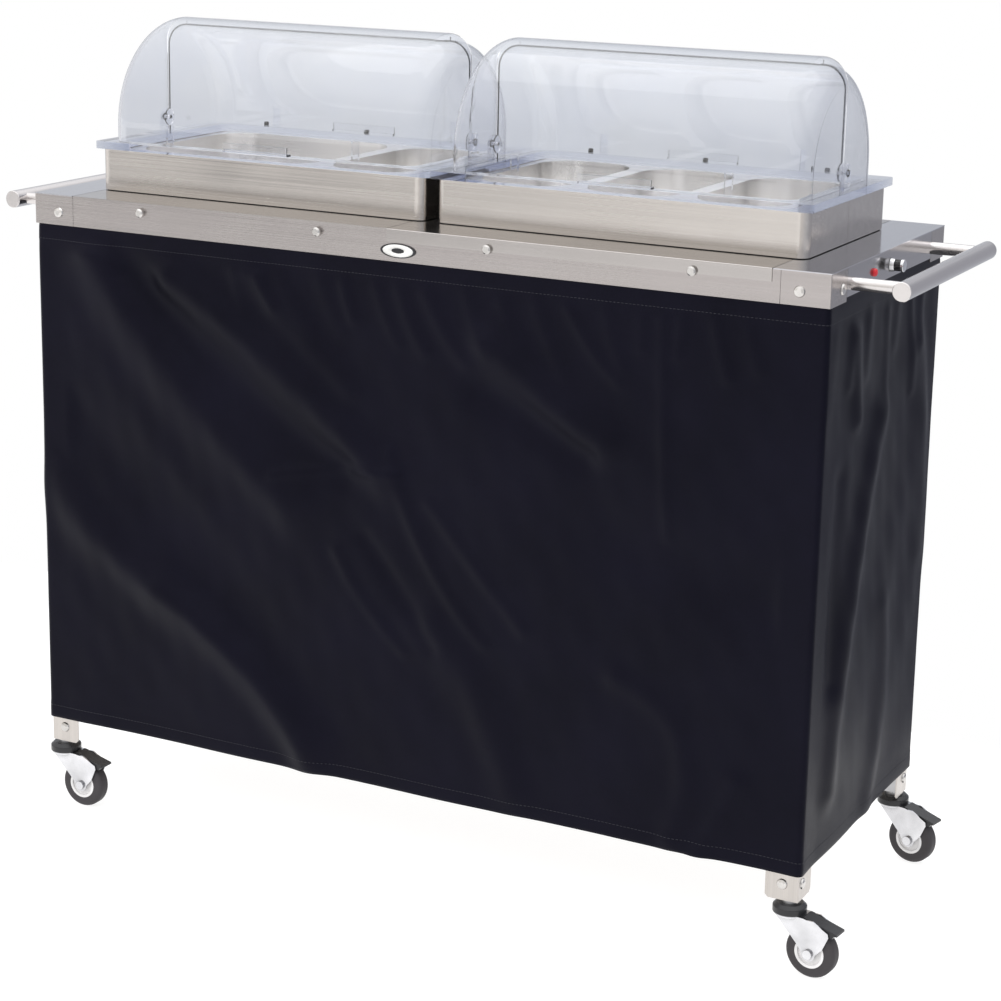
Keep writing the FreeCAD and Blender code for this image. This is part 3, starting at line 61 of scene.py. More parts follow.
def make_camera():
    """Camera at the object's three-quarter view, a little above the deck."""
    data = bpy.data.cameras.new("camera")
    data.sensor_width = SENSOR_WIDTH
    data.lens = CAMERA_LENS
    data.shift_x, data.shift_y = CAMERA_SHIFT
    data.clip_start = CLIP_START
    camera = bpy.data.objects.new("camera", data)
    back = Vector((math.sin(CAMERA_AZIMUTH) * math.cos(CAMERA_ELEVATION),
                   -math.cos(CAMERA_AZIMUTH) * math.cos(CAMERA_ELEVATION), math.sin(CAMERA_ELEVATION)))
    level = Vector((math.cos(CAMERA_AZIMUTH), math.sin(CAMERA_AZIMUTH), 0))
    over = back.cross(level)
    right = level * math.cos(CAMERA_ROLL) + over * math.sin(CAMERA_ROLL)
    top = over * math.cos(CAMERA_ROLL) - level * math.sin(CAMERA_ROLL)
    turn = Matrix((right, top, back)).transposed().to_4x4()
    camera.matrix_world = Matrix.Translation(CAMERA_PLACE) @ turn
    SCENE.collection.objects.link(camera)
    SCENE.camera = camera


# ---- studio --------------------------------------------------------------------
WARM_SIDE = (-0.6, -0.8, 0.0)
SKY_STOPS = ((0.0, (0.40, 0.41, 0.46)), (0.28, (0.63, 0.655, 0.705)), (0.62, (0.80, 0.80, 0.82)),
             (1.0, (1.0, 0.98, 0.95)))
SKY_TOP = (1.75, 1.76, 1.78)
SKY_TOP_FROM = 0.3
SKY_TOP_FULL = 0.9
FLOOR_REACH = 30.0
FLOOR_RIGHT = 1.6
FLOOR_BACK = 0.8
FLOOR_HEIGHT = -0.0005
FLOOR_SHADE = 0.26
FLOOR_GLOW = 0.86
FLAG_SPAN = ((-9.0, -3.5), (-16.0, -6.0))
FLAG_HEIGHT = 0.02
FLAG_SHADE = 0.16
LIGHT_BOUNCES = 16
CLEAR_BOUNCES = 24
# Name, place, target, size, power, colour, and whether reflections see its shape.
LIGHTS = [
    ("key_light", (-1.6, -3.6, 3.4), (0, 0, 0.9), (2.4, 1.6), 60, (1.0, 0.98, 0.96), False),
    ("fill_light", (3.8, -0.6, 2.2), (0, 0, 0.8), (2.0, 2.0), 8, (0.94, 0.96, 1.0), False),
    ("top_light", (0, 0.4, 4.2), (0, 0, 1.0), (4.0, 2.4), 34, (1, 1, 1), True),
]


def area_light(name, place, target, size, power, colour, reflected):
    """A soft rectangular light aimed at a point; its shape shows in reflections only if asked."""
    data = bpy.data.lights.new(name, "AREA")
    data.shape = "RECTANGLE"
    data.size, data.size_y = size
    data.energy = power
    data.color = colour
    light = bpy.data.objects.new(name, data)
    light.location = place
    light.rotation_euler = (Vector(target) - Vector(place)).to_track_quat("-Z", "Y").to_euler()
    light.visible_glossy = reflected
    light.visible_transmission = False
    SCENE.collection.objects.link(light)


def make_sky():
    """White behind the object, and a soft room around it: warm at the front left, cool at the back right."""
    world = bpy.data.worlds.new("studio_sky")
    SCENE.world = world
    world.use_nodes = True
    nodes, links = world.node_tree.nodes, world.node_tree.links
    room = nodes["Background"]
    coord = nodes.new("ShaderNodeTexCoord")
    toward = nodes.new("ShaderNodeVectorMath")
    toward.operation = "DOT_PRODUCT"
    toward.inputs[1].default_value = WARM_SIDE
    links.new(coord.outputs["Generated"], toward.inputs[0])
    spread = nodes.new("ShaderNodeMapRange")
    spread.inputs["From Min"].default_value = -1.0
    links.new(toward.outputs["Value"], spread.inputs["Value"])
    ramp = nodes.new("ShaderNodeValToRGB")
    stops = ramp.color_ramp.elements
    stops[0].position, stops[0].color = SKY_STOPS[0][0], (*SKY_STOPS[0][1], 1)
    stops[1].position, stops[1].color = SKY_STOPS[-1][0], (*SKY_STOPS[-1][1], 1)
    for position, colour in SKY_STOPS[1:-1]:
        stops.new(position).color = (*colour, 1)
    links.new(spread.outputs["Result"], ramp.inputs["Fac"])
    split = nodes.new("ShaderNodeSeparateXYZ")
    links.new(coord.outputs["Generated"], split.inputs[0])
    lift = nodes.new("ShaderNodeMapRange")
    lift.inputs["From Min"].default_value = SKY_TOP_FROM
    lift.inputs["From Max"].default_value = SKY_TOP_FULL
    links.new(split.outputs["Z"], lift.inputs["Value"])
    blend = nodes.new("ShaderNodeMix")
    blend.data_type = "RGBA"
    blend.inputs["B"].default_value = (*SKY_TOP, 1)
    links.new(lift.outputs["Result"], blend.inputs["Factor"])
    links.new(ramp.outputs["Color"], blend.inputs["A"])
    links.new(blend.outputs["Result"], room.inputs["Color"])
    backdrop = nodes.new("ShaderNodeBackground")
    path = nodes.new("ShaderNodeLightPath")
    pick = nodes.new("ShaderNodeMixShader")
    links.new(path.outputs["Is Camera Ray"], pick.inputs["Fac"])
    links.new(room.outputs[0], pick.inputs[1])
    backdrop.inputs["Color"].default_value = (1, 1, 1, 1)
    links.new(backdrop.outputs[0], pick.inputs[2])
    links.new(pick.outputs[0], nodes["World Output"].inputs["Surface"])


def stage_sheet(name, span_x, span_y, height, shade, glow):
    """A level sheet of the studio, plain matt, that may glow faintly like a light table."""
    mesh = bpy.data.meshes.new(name)
    corners = [(span_x[0], span_y[0]), (span_x[1], span_y[0]), (span_x[1], span_y[1]), (span_x[0], span_y[1])]
    mesh.from_pydata([(x, y, height) for x, y in corners], [], [(0, 1, 2, 3)])
    sheet = bpy.data.objects.new(name, mesh)
    SCENE.collection.objects.link(sheet)
    material, nodes, links, bsdf = shader(name)
    bsdf.inputs["Base Color"].default_value = (shade, shade, shade, 1)
    bsdf.inputs["Roughness"].default_value = 1.0
    bsdf.inputs["Emission Color"].default_value = (1, 0.995, 0.99, 1)
    bsdf.inputs["Emission Strength"].default_value = glow
    sheet.data.materials.append(material)
    return sheet


def make_floor():
    """A plain glowing floor, and a grey flag just over it that the camera does not see."""
    stage_sheet("studio_floor", (-FLOOR_REACH, FLOOR_RIGHT), (-FLOOR_REACH, FLOOR_BACK),
                FLOOR_HEIGHT, FLOOR_SHADE, FLOOR_GLOW)
    flag = stage_sheet("studio_flag", *FLAG_SPAN, FLAG_HEIGHT, FLAG_SHADE, 0.0)
    flag.visible_camera = False


def make_studio():
    """Sky, floor and soft lights."""
    make_sky()
    make_floor()
    for light in LIGHTS:
        area_light(*light)
    SCENE.view_settings.view_transform = "Standard"
    SCENE.cycles.use_denoising = True
    SCENE.cycles.max_bounces = LIGHT_BOUNCES
    SCENE.cycles.transmission_bounces = LIGHT_BOUNCES
    SCENE.cycles.transparent_max_bounces = CLEAR_BOUNCES


# ---- materials -------------------------------------------------------------------
# Noise scales are along and across the brushing, or the same on every axis.
STREAK_SCALE = (2.5, 900.0)
BAND_SCALE = (0.8, 90.0)
SMUDGE_SCALE = (6, 6, 6)
STREAK_SHARE = 0.45
BAND_SHARE = 0.55
STREAK_DEPTH = 0.0004
MARK_SCALE = (22, 22, 22)
GRAIN_DEPTH = 0.0003
PAINTED_SHADE_SAMPLES = 6
HAZE_SCALE = (9, 9, 9)
COAT_ROUGHNESS = 0.03
SLUB_SCALE = (420, 420, 420)
SCUFF_SCALE = (5, 5, 5)
WEAVE_SHARE = 0.35
THREAD_SHARE = 0.5
WEAVE_DEPTH = 0.0002


def shader(name):
    """A new material with its node tree, links and principled shader."""
    material = bpy.data.materials.new(name)
    material.use_nodes = True
    tree = material.node_tree
    return material, tree.nodes, tree.links, tree.nodes["Principled BSDF"]


def scaled_noise(nodes, links, scale, detail=3.0, size=1.0, roughness=0.5):
    """Noise in object space, stretched by a scale on each axis."""
    coord = nodes.new("ShaderNodeTexCoord")
    mapping = nodes.new("ShaderNodeMapping")
    mapping.inputs["Scale"].default_value = scale
    texture = nodes.new("ShaderNodeTexNoise")
    texture.inputs["Scale"].default_value = size
    texture.inputs["Detail"].default_value = detail
    texture.inputs["Roughness"].default_value = roughness
    links.new(coord.outputs["Object"], mapping.inputs["Vector"])
    links.new(mapping.outputs["Vector"], texture.inputs["Vector"])
    return texture.outputs["Fac"]


def remap(nodes, links, value, low, high, from_low=0.3, from_high=0.7):
    """A value spread over a new range."""
    spread = nodes.new("ShaderNodeMapRange")
    spread.inputs["From Min"].default_value = from_low
    spread.inputs["From Max"].default_value = from_high
    spread.inputs["To Min"].default_value = low
    spread.inputs["To Max"].default_value = high
    links.new(value, spread.inputs["Value"])
    return spread.outputs["Result"]


def tinted(nodes, links, value, dark, light):
    """A colour that runs from dark to light with a value."""
    mix = nodes.new("ShaderNodeMix")
    mix.data_type = "RGBA"
    mix.inputs["A"].default_value = (*dark, 1)
    mix.inputs["B"].default_value = (*light, 1)
    links.new(value, mix.inputs["Factor"])
    return mix.outputs["Result"]


def bumped(nodes, links, bsdf, value, strength, distance):
    """Surface relief from a value."""
    bump = nodes.new("ShaderNodeBump")
    bump.inputs["Strength"].default_value = strength
    bump.inputs["Distance"].default_value = distance
    links.new(value, bump.inputs["Height"])
    links.new(bump.outputs["Normal"], bsdf.inputs["Normal"])


def brushed_steel(name, colour, along, roughness=0.30, contrast=0.10, bump=0.12):
    """Satin stainless steel with fine streaks that run along one axis."""
    material, nodes, links, bsdf = shader(name)
    fine = tuple(STREAK_SCALE[0] if axis == along else STREAK_SCALE[1] for axis in "XYZ")
    broad = tuple(BAND_SCALE[0] if axis == along else BAND_SCALE[1] for axis in "XYZ")
    streak = scaled_noise(nodes, links, fine, detail=2.0)
    band = scaled_noise(nodes, links, broad, detail=3.0)
    smudge = scaled_noise(nodes, links, SMUDGE_SCALE, detail=4.0)
    dark = tuple(channel * (1 - contrast) for channel in colour)
    light = tuple(min(1.0, channel * (1 + contrast)) for channel in colour)
    both = nodes.new("ShaderNodeMath")
    both.operation = "MULTIPLY_ADD"
    links.new(streak, both.inputs[0])
    both.inputs[1].default_value = STREAK_SHARE
    scaled_band = nodes.new("ShaderNodeMath")
    scaled_band.operation = "MULTIPLY"
    scaled_band.inputs[1].default_value = BAND_SHARE
    links.new(band, scaled_band.inputs[0])
    links.new(scaled_band.outputs[0], both.inputs[2])
    links.new(tinted(nodes, links, remap(nodes, links, both.outputs[0], 0, 1), dark, light),
              bsdf.inputs["Base Color"])
    bsdf.inputs["Metallic"].default_value = 1.0
    wear = nodes.new("ShaderNodeMath")
    wear.operation = "ADD"
    links.new(remap(nodes, links, streak, roughness - 0.05, roughness + 0.05), wear.inputs[0])
    links.new(remap(nodes, links, smudge, -0.03, 0.05), wear.inputs[1])
    links.new(wear.outputs[0], bsdf.inputs["Roughness"])
    bumped(nodes, links, bsdf, streak, bump, STREAK_DEPTH)
    return material


def moulded(name, colour, roughness, grain=900.0, bump=0.08, metallic=0.0, painted_shade_reach=0.0):
    """Moulded plastic, rubber or plate finish with a fine grain, soft handling marks, and painted shade that
    darkens its colour in creases and recesses when a reach is given.
    """
    material, nodes, links, bsdf = shader(name)
    fine = scaled_noise(nodes, links, (grain, grain, grain), detail=2.0)
    mark = scaled_noise(nodes, links, MARK_SCALE, detail=4.0)
    dark = tuple(channel * 0.82 for channel in colour)
    light = tuple(min(1.0, channel * 1.15 + 0.004) for channel in colour)
    shade = tinted(nodes, links, remap(nodes, links, mark, 0, 1), dark, light)
    if painted_shade_reach:
        # Painted shade: ambient occlusion darkens the colour in creases, recesses and round bolt heads.
        painted_hollow_shade = nodes.new("ShaderNodeAmbientOcclusion")
        painted_hollow_shade.samples = PAINTED_SHADE_SAMPLES
        painted_hollow_shade.inputs["Distance"].default_value = painted_shade_reach
        links.new(shade, painted_hollow_shade.inputs["Color"])
        shade = painted_hollow_shade.outputs["Color"]
    links.new(shade, bsdf.inputs["Base Color"])
    links.new(remap(nodes, links, mark, roughness - 0.06, roughness + 0.08), bsdf.inputs["Roughness"])
    bsdf.inputs["Metallic"].default_value = metallic
    bumped(nodes, links, bsdf, fine, bump, GRAIN_DEPTH)
    return material


def clear_plastic(name, tint, depth_tint, density, bend=1.49, coat=0.0, roughness=0.02):
    """Clear polycarbonate with faint handling haze, darker blue where light goes a long way through it."""
    material, nodes, links, bsdf = shader(name)
    haze = scaled_noise(nodes, links, HAZE_SCALE, detail=5.0)
    links.new(remap(nodes, links, haze, roughness, roughness + 0.05, 0.45, 0.8), bsdf.inputs["Roughness"])
    light = tuple(min(1, channel * 1.03) for channel in tint)
    links.new(tinted(nodes, links, remap(nodes, links, haze, 0, 1), tint, light), bsdf.inputs["Base Color"])
    bsdf.inputs["Transmission Weight"].default_value = 1.0
    bsdf.inputs["IOR"].default_value = bend
    bsdf.inputs["Coat Weight"].default_value = coat
    bsdf.inputs["Coat Roughness"].default_value = COAT_ROUGHNESS
    depth = nodes.new("ShaderNodeVolumeAbsorption")
    depth.inputs["Color"].default_value = (*depth_tint, 1)
    depth.inputs["Density"].default_value = density
    links.new(depth.outputs[0], nodes["Material Output"].inputs["Volume"])
    return material


def thread_wave(nodes, links, direction, pitch):
    """A run of threads, one every pitch, seen from any side of the upright cloth."""
    coord = nodes.new("ShaderNodeTexCoord")
    along = nodes.new("ShaderNodeVectorMath")
    along.operation = "DOT_PRODUCT"
    along.inputs[1].default_value = tuple(2 * math.pi / pitch * part for part in direction)
    links.new(coord.outputs["Object"], along.inputs[0])
    wave = nodes.new("ShaderNodeMath")
    wave.operation = "SINE"
    links.new(along.outputs["Value"], wave.inputs[0])
    return wave.outputs[0]


def woven_cloth(name, dark, light, pitch=0.0013):
    """Coated woven cloth: a fine plain weave, slubs, soft scuffs and a low sheen."""
    material, nodes, links, bsdf = shader(name)
    warp = thread_wave(nodes, links, (1, 1, 0), pitch)
    weft = thread_wave(nodes, links, (0, 0, 1), pitch)
    weave = nodes.new("ShaderNodeMath")
    weave.operation = "MULTIPLY"
    links.new(warp, weave.inputs[0])
    links.new(weft, weave.inputs[1])
    slub = scaled_noise(nodes, links, SLUB_SCALE, detail=2.0)
    scuff = scaled_noise(nodes, links, SCUFF_SCALE, detail=6.0, roughness=0.6)
    height = nodes.new("ShaderNodeMath")
    height.operation = "MULTIPLY_ADD"
    links.new(weave.outputs[0], height.inputs[0])
    height.inputs[1].default_value = WEAVE_SHARE
    links.new(slub, height.inputs[2])
    shade = nodes.new("ShaderNodeMath")
    shade.operation = "MULTIPLY_ADD"
    links.new(height.outputs[0], shade.inputs[0])
    shade.inputs[1].default_value = THREAD_SHARE
    links.new(remap(nodes, links, scuff, -0.15, 0.35), shade.inputs[2])
    links.new(tinted(nodes, links, shade.outputs[0], dark, light), bsdf.inputs["Base Color"])
    links.new(remap(nodes, links, scuff, 0.36, 0.48), bsdf.inputs["Roughness"])
    bsdf.inputs["Specular IOR Level"].default_value = 0.10
    bsdf.inputs["Specular Tint"].default_value = (0.80, 0.80, 1.0, 1)
    bsdf.inputs["Sheen Weight"].default_value = 0.012
    bsdf.inputs["Sheen Roughness"].default_value = 0.4
    bsdf.inputs["Sheen Tint"].default_value = (0.75, 0.78, 1.0, 1)
    bumped(nodes, links, bsdf, height.outputs[0], 0.5, WEAVE_DEPTH)
    return material


def make_materials():
    """Every finish on the table, by the name of its use."""
    warm = (0.57, 0.535, 0.505)
    cool = (0.54, 0.535, 0.56)
    return {
        "steel_x": brushed_steel("steel_brushed_lengthwise", warm, "X", 0.21, 0.08, 0.06),
        # Painted shade: the apron and corner plates take a darker copy of the housings' steel.
        "steel_apron_shaded": brushed_steel("steel_brushed_apron_shaded", (0.42, 0.39, 0.38), "X", 0.24, 0.08, 0.08),
        "steel_y": brushed_steel("steel_brushed_crosswise", cool, "Y", 0.14, 0.06, 0.04),
        "steel_z": brushed_steel("steel_brushed_upright", warm, "Z"),
        "steel_deck": brushed_steel("steel_brushed_deck", (0.45, 0.425, 0.41), "X", 0.18, 0.06, 0.05),
        # Painted shade: the end panels take a darker, cooler copy of the steel.
        "steel_end_shaded": brushed_steel("steel_brushed_end_shaded", (0.42, 0.405, 0.415), "Y", 0.15, 0.06, 0.04),
        # Painted light: the wells and pans take a near-white copy of the steel, brighter than the steel
        # elsewhere.
        "steel_pan_lit": brushed_steel("steel_drawn_pan_lit", (0.985, 0.965, 0.945), "X", 0.31, 0.02, 0.02),
        "steel_tube": brushed_steel("steel_handle_tube", (0.64, 0.61, 0.60), "Y", 0.17, 0.03, 0.01),
        # The last number of the fastener and chrome finishes is the reach of their painted shade in recesses.
        "fastener": moulded("fastener_bright", (0.62, 0.60, 0.58), 0.17, 1500, 0.02, 1.0, 0.005),
        "chrome": moulded("chrome_plate", (0.72, 0.72, 0.74), 0.12, 1500, 0.01, 1.0, 0.012),
        "zinc": moulded("zinc_plate", (0.55, 0.55, 0.56), 0.38, 1200, 0.05, 1.0),
        "hub": moulded("hub_plastic", (0.72, 0.71, 0.71), 0.38),
        "tyre": moulded("tyre_rubber", (0.030, 0.026, 0.029), 0.60, 700, 0.15),
        "black": moulded("black_plastic", (0.008, 0.008, 0.010), 0.26),
        "rubber": moulded("black_rubber", (0.012, 0.012, 0.013), 0.7, 800, 0.12),
        "clear": clear_plastic("clear_polycarbonate", (0.970, 0.975, 0.992), (0.42, 0.49, 0.68), 11.0),
        "clear_frame": clear_plastic("clear_lid_frame", (0.955, 0.96, 0.985), (0.40, 0.46, 0.66), 7.0,
                                     bend=1.05, coat=1.0),
        "element": moulded("heater_sheath", (0.10, 0.095, 0.09), 0.45, 900, 0.08, 1.0),
        "lamp": moulded("lamp_red_lens", (0.65, 0.01, 0.02), 0.12, 600, 0.02),
        "cloth": woven_cloth("skirt_cloth", (0.0012, 0.0011, 0.0036), (0.0050, 0.0046, 0.0115)),
        "thread": moulded("skirt_thread", (0.012, 0.012, 0.020), 0.6, 2500, 0.3),
        "badge": moulded("badge_gloss", (0.012, 0.012, 0.015), 0.16),
        "badge_mark": moulded("badge_mark_pale", (0.80, 0.80, 0.78), 0.3),
    }


NODE_FINISH = {
    "apron_front": "steel_apron_shaded", "apron_back": "steel_apron_shaded", "corner_plates": "steel_apron_shaded",
    "end_panel_left": "steel_end_shaded", "end_panel_right": "steel_end_shaded",
    "deck_ends": "steel_y", "deck_crossbar": "steel_y",
    "bay_plate_left": "steel_deck", "bay_plate_right": "steel_deck",
    "lower_shelf": "steel_x", "housing_left": "steel_x", "housing_right": "steel_x",
    "wells": "steel_pan_lit", "pan_two_thirds": "steel_pan_lit", "third_pans": "steel_pan_lit",
    "handle_left": "steel_tube", "handle_right": "steel_tube",
    "frame_bolts": "fastener", "deck_studs": "fastener", "knob_trim": "chrome", "caster_mounts": "zinc",
    "caster_cups": "black", "thermostat": "black", "control_knob": "black", "power_inlet": "black",
    "heating_elements": "element", "housing_gaskets": "rubber", "pilot_lamp": "lamp",
    "badge": "badge", "skirt": "cloth",
}
PREFIX_FINISH = {
    "leg_": "steel_z", "fork_": "chrome", "hub_": "hub", "tyre_": "tyre", "pedal_": "black",
    "lid_frame_": "clear_frame", "front_door_": "clear", "rear_door_": "clear", "pivot_pins_": "clear_frame",
    "lid_bumpers_": "rubber",
}


def finish_for(node):
    """The finish that one CAD node takes."""
    if node in NODE_FINISH:
        return NODE_FINISH[node]
    return next(finish for prefix, finish in PREFIX_FINISH.items() if node.startswith(prefix))


def paint_nodes(materials):
    """Gives every CAD node its finish."""
    for name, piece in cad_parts.items():
        piece.data.materials.clear()
        piece.data.materials.append(materials[finish_for(name)])


# ---- skirt ---------------------------------------------------------------------
SKIRT_LOW, SKIRT_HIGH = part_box("skirt")
CLOTH_THICKNESS = 0.0012
CLOTH_CORNER = 0.008
CLOTH_STEP = 0.006
CLOTH_RETURN = 0.060
HALF_X = SKIRT_HIGH.x
HALF_Y = SKIRT_HIGH.y
CUT_HALF = HALF_X + 2 * HALF_Y + CLOTH_RETURN
TUCKED = 0.012
HEM_STITCH = 0.038
HEM_RISE = 0.0007
FOOT_STITCH = 0.024
GATHER_SEED = 7
CLOTH_ROWS = 168
CORNER_COLUMNS = 8
FAR_AWAY = 9.0
BELLY_RISE = 0.003
# Pitch, slope, size and phase of each broad wave in the cloth.
SLACK_WAVES = ((0.31, 0.35, 0.0012, 0.4), (0.173, -0.6, 0.0008, 1.9),
               (0.083, 0.9, 0.0004, 3.1), (0.049, 0.2, 0.00025, 0.7))
FOOT_WAVE = 0.002
FOOT_WAVE_PITCH = 0.37
FOOT_WAVE_TOP = 0.34
ROOM_FREE = 0.014
ROOM_AT_FRAME = 0.0008
SHELF_SHARE = 0.9
SHELF_EDGE = (0.20, 0.235)
CORNER_HOLD = 0.85
CORNER_HOLD_WIDTH = 0.045
CORNER_RISE = 0.0013
CORNER_RISE_WIDTH = 0.03
TUCK_FADE = 0.045
TOP_SEAM_INSET = 0.004
FOOT_SEAM_INSET = 0.003
PINCH_DEPTH = 0.0005
PINCH_WIDTH = 0.002

# Each fold, in metres: how far its crest stands out (or sinks in), half its width, and points along it.
# A point is x and height on the front, or y and height on an end.
FRONT_FOLDS = [
    (0.0145, 0.042, ((-0.564, 0.954), (-0.382, 0.741), (-0.196, 0.593))),
    (-0.0101, 0.028, ((-0.493, 0.934), (-0.269, 0.755), (-0.100, 0.660))),
    (0.013, 0.032, ((-0.417, 0.930), (-0.184, 0.787), (-0.029, 0.659))),
    (0.0145, 0.040, ((-0.655, 0.561), (-0.503, 0.447), (-0.361, 0.368), (-0.160, 0.200))),
    (-0.0101, 0.048, ((-0.600, 0.679), (-0.436, 0.547), (-0.272, 0.394))),
    (0.0058, 0.022, ((-0.268, 0.956), (-0.160, 0.852), (-0.088, 0.788))),
    (0.013, 0.032, ((0.151, 0.887), (0.251, 0.818), (0.339, 0.760))),
    (-0.0101, 0.024, ((0.141, 0.815), (0.214, 0.779), (0.307, 0.735))),
    (0.0046, 0.012, ((-0.017, 0.702), (0.043, 0.553), (0.148, 0.421))),
    (0.0038, 0.011, ((-0.111, 0.530), (-0.039, 0.433), (0.009, 0.387))),
    (0.0038, 0.012, ((0.053, 0.628), (0.146, 0.527), (0.216, 0.454))),
    (-0.0043, 0.014, ((-0.060, 0.560), (0.010, 0.470), (0.060, 0.400))),
    (0.0087, 0.032, ((0.056, 0.427), (0.151, 0.314), (0.199, 0.193))),
    (0.0072, 0.028, ((-0.438, 0.412), (-0.285, 0.324), (-0.160, 0.166))),
    (0.0058, 0.020, ((0.372, 0.408), (0.460, 0.351), (0.467, 0.173))),
    (0.0058, 0.018, ((0.568, 0.278), (0.540, 0.214), (0.510, 0.151))),
    (0.0038, 0.010, ((0.426, 0.956), (0.430, 0.860), (0.444, 0.634))),
    (-0.0072, 0.050, ((0.365, 0.622), (0.500, 0.590), (0.648, 0.547))),
    (0.0032, 0.010, ((-0.220, 0.640), (-0.110, 0.660), (0.000, 0.668))),
]
END_FOLDS = [
    (0.0101, 0.030, ((-0.007, 0.791), (-0.101, 0.548), (-0.158, 0.255))),
    (0.0072, 0.022, ((-0.134, 0.934), (-0.125, 0.870), (-0.115, 0.813))),
    (-0.0072, 0.024, ((-0.173, 0.727), (-0.175, 0.570), (-0.169, 0.425))),
    (0.0087, 0.040, ((0.155, 0.863), (0.215, 0.700), (0.240, 0.537))),
    (0.0058, 0.030, ((0.060, 0.480), (0.075, 0.330), (0.030, 0.170))),
]


def hem_gathers():
    """Short slanting puckers that run down from the top hem, round the whole cloth."""
    draw = random.Random(GATHER_SEED)
    folds = []
    run = -0.300
    while run < 0.590:
        length = draw.uniform(0.045, 0.115)
        slant = draw.uniform(0.25, 0.85) if run < 0.33 else draw.uniform(-0.25, 0.35)
        top = draw.uniform(0.950, 0.966)
        middle = (run + slant * length * 0.4, top - length * 0.5)
        folds.append((draw.uniform(0.0020, 0.0042), draw.uniform(0.009, 0.015),
                      ((run, top), middle, (run + slant * length, top - length))))
        run += draw.uniform(0.035, 0.070)
    for side in (-1, 1):
        run = HALF_X + 0.03
        while run < CUT_HALF - 0.03:
            length = draw.uniform(0.05, 0.16)
            lean = draw.uniform(-0.02, 0.02)
            top = draw.uniform(0.945, 0.962)
            folds.append((draw.uniform(0.0015, 0.0032), draw.uniform(0.010, 0.018),
                          ((side * run, top), (side * (run + lean / 2), top - length / 2),
                           (side * (run + lean), top - length))))
            run += draw.uniform(0.045, 0.085)
    return folds


def end_run(side, y):
    """Where a place on an end face falls along the cloth's run."""
    return side * (HALF_X + y + HALF_Y)


def all_folds():
    """Front folds, the right end's folds, fainter mirrored ones for the left end, and the gathers."""
    folds = list(FRONT_FOLDS)
    folds += [(rise, width, tuple((end_run(1, y), z) for y, z in line)) for rise, width, line in END_FOLDS]
    folds += [(rise * 0.7, width * 1.1, tuple((end_run(-1, -y * 0.9), z) for y, z in line))
              for rise, width, line in END_FOLDS]
    return folds + hem_gathers()


def through(points, count=14):
    """Points on the smooth curve through three or four given points."""
    points = np.array(points)
    chord = np.concatenate([[0], np.cumsum(np.linalg.norm(np.diff(points, axis=0), axis=1))])
    chord /= chord[-1]
    steps = np.linspace(0, 1, count)
    order = len(points) - 1
    return np.stack([np.polyval(np.polyfit(chord, points[:, axis], order), steps) for axis in (0, 1)], axis=1)


def distance_to(line, run, height):
    """Distance from each place on the cloth to a curve."""
    nearest = np.full(run.shape, FAR_AWAY)
    for start, end in zip(line[:-1], line[1:]):
        step = end - start
        part = ((run - start[0]) * step[0] + (height - start[1]) * step[1]) / (step @ step)
        part = np.clip(part, 0, 1)
        gap_run = run - start[0] - part * step[0]
        gap_height = height - start[1] - part * step[1]
        nearest = np.minimum(nearest, np.hypot(gap_run, gap_height))
    return nearest


def ramp_up(value, low, high):
    """0 below low, 1 above high, smooth between."""
    part = np.clip((value - low) / (high - low), 0, 1)
    return part * part * (3 - 2 * part)


FOLDS = [(rise, width, through(line)) for rise, width, line in all_folds()]


def near_corners(face, width):
    """1 at the front and back corners of the skirt, falling away smoothly on both sides."""
    return np.exp(-((face - HALF_X) / width) ** 2) + np.exp(-((face - HALF_X - 2 * HALF_Y) / width) ** 2)


def cloth_depth(run, height):
    """How far the cloth stands out from its flat face at each place along its run and height."""
    depth = np.zeros(run.shape)
    for rise, width, line in FOLDS:
        depth += rise * np.exp(-(distance_to(line, run, height) / width) ** 2)
    from_front = np.clip(1 - (run / HALF_X) ** 2, 0, 1)
    low, high = SKIRT_LOW.z, SKIRT_HIGH.z
    belly = np.sin(np.pi * np.clip((height - low) / (high - low), 0, 1))
    depth += BELLY_RISE * from_front * belly
    for pitch, slope, size, phase in SLACK_WAVES:
        depth += size * np.sin(2 * np.pi * (run + slope * height) / pitch + phase) * belly ** 0.5
    drop = high - height
    depth += FOOT_WAVE * np.sin(2 * np.pi * run / FOOT_WAVE_PITCH) * ramp_up(-height, -FOOT_WAVE_TOP, -low)
    face = np.abs(run)
    at_leg = ramp_up(face, HALF_X - 0.075, HALF_X - 0.05) * (1 - ramp_up(face, HALF_X + 0.055, HALF_X + 0.08))
    at_leg = np.maximum(at_leg, ramp_up(face, HALF_X + 2 * HALF_Y - 0.08, HALF_X + 2 * HALF_Y - 0.055))
    at_shelf = 1 - ramp_up(height, *SHELF_EDGE)
    room = ROOM_FREE + (ROOM_AT_FRAME - ROOM_FREE) * np.maximum(at_leg, SHELF_SHARE * at_shelf)
    sunk = -room * (1 - np.exp(np.minimum(depth, 0) / room))
    depth = np.where(depth > 0, depth, sunk)
    depth *= 1 - CORNER_HOLD * np.clip(near_corners(face, CORNER_HOLD_WIDTH), 0, 1)
    depth += CORNER_RISE * near_corners(face, CORNER_RISE_WIDTH)
    depth *= ramp_up(drop, TUCKED, TUCKED + TUCK_FADE)
    band = ramp_up(drop, TUCKED, TUCKED + 0.004) * (1 - ramp_up(drop, HEM_STITCH, HEM_STITCH + 0.003))
    foot = 1 - ramp_up(height, low + FOOT_STITCH, low + FOOT_STITCH + 0.003)
    top_pinch = np.exp(-((drop - HEM_STITCH + TOP_SEAM_INSET) / PINCH_WIDTH) ** 2)
    foot_pinch = np.exp(-((height - low - FOOT_STITCH + FOOT_SEAM_INSET) / PINCH_WIDTH) ** 2)
    return depth + HEM_RISE * (band + foot) - PINCH_DEPTH * (top_pinch + foot_pinch)


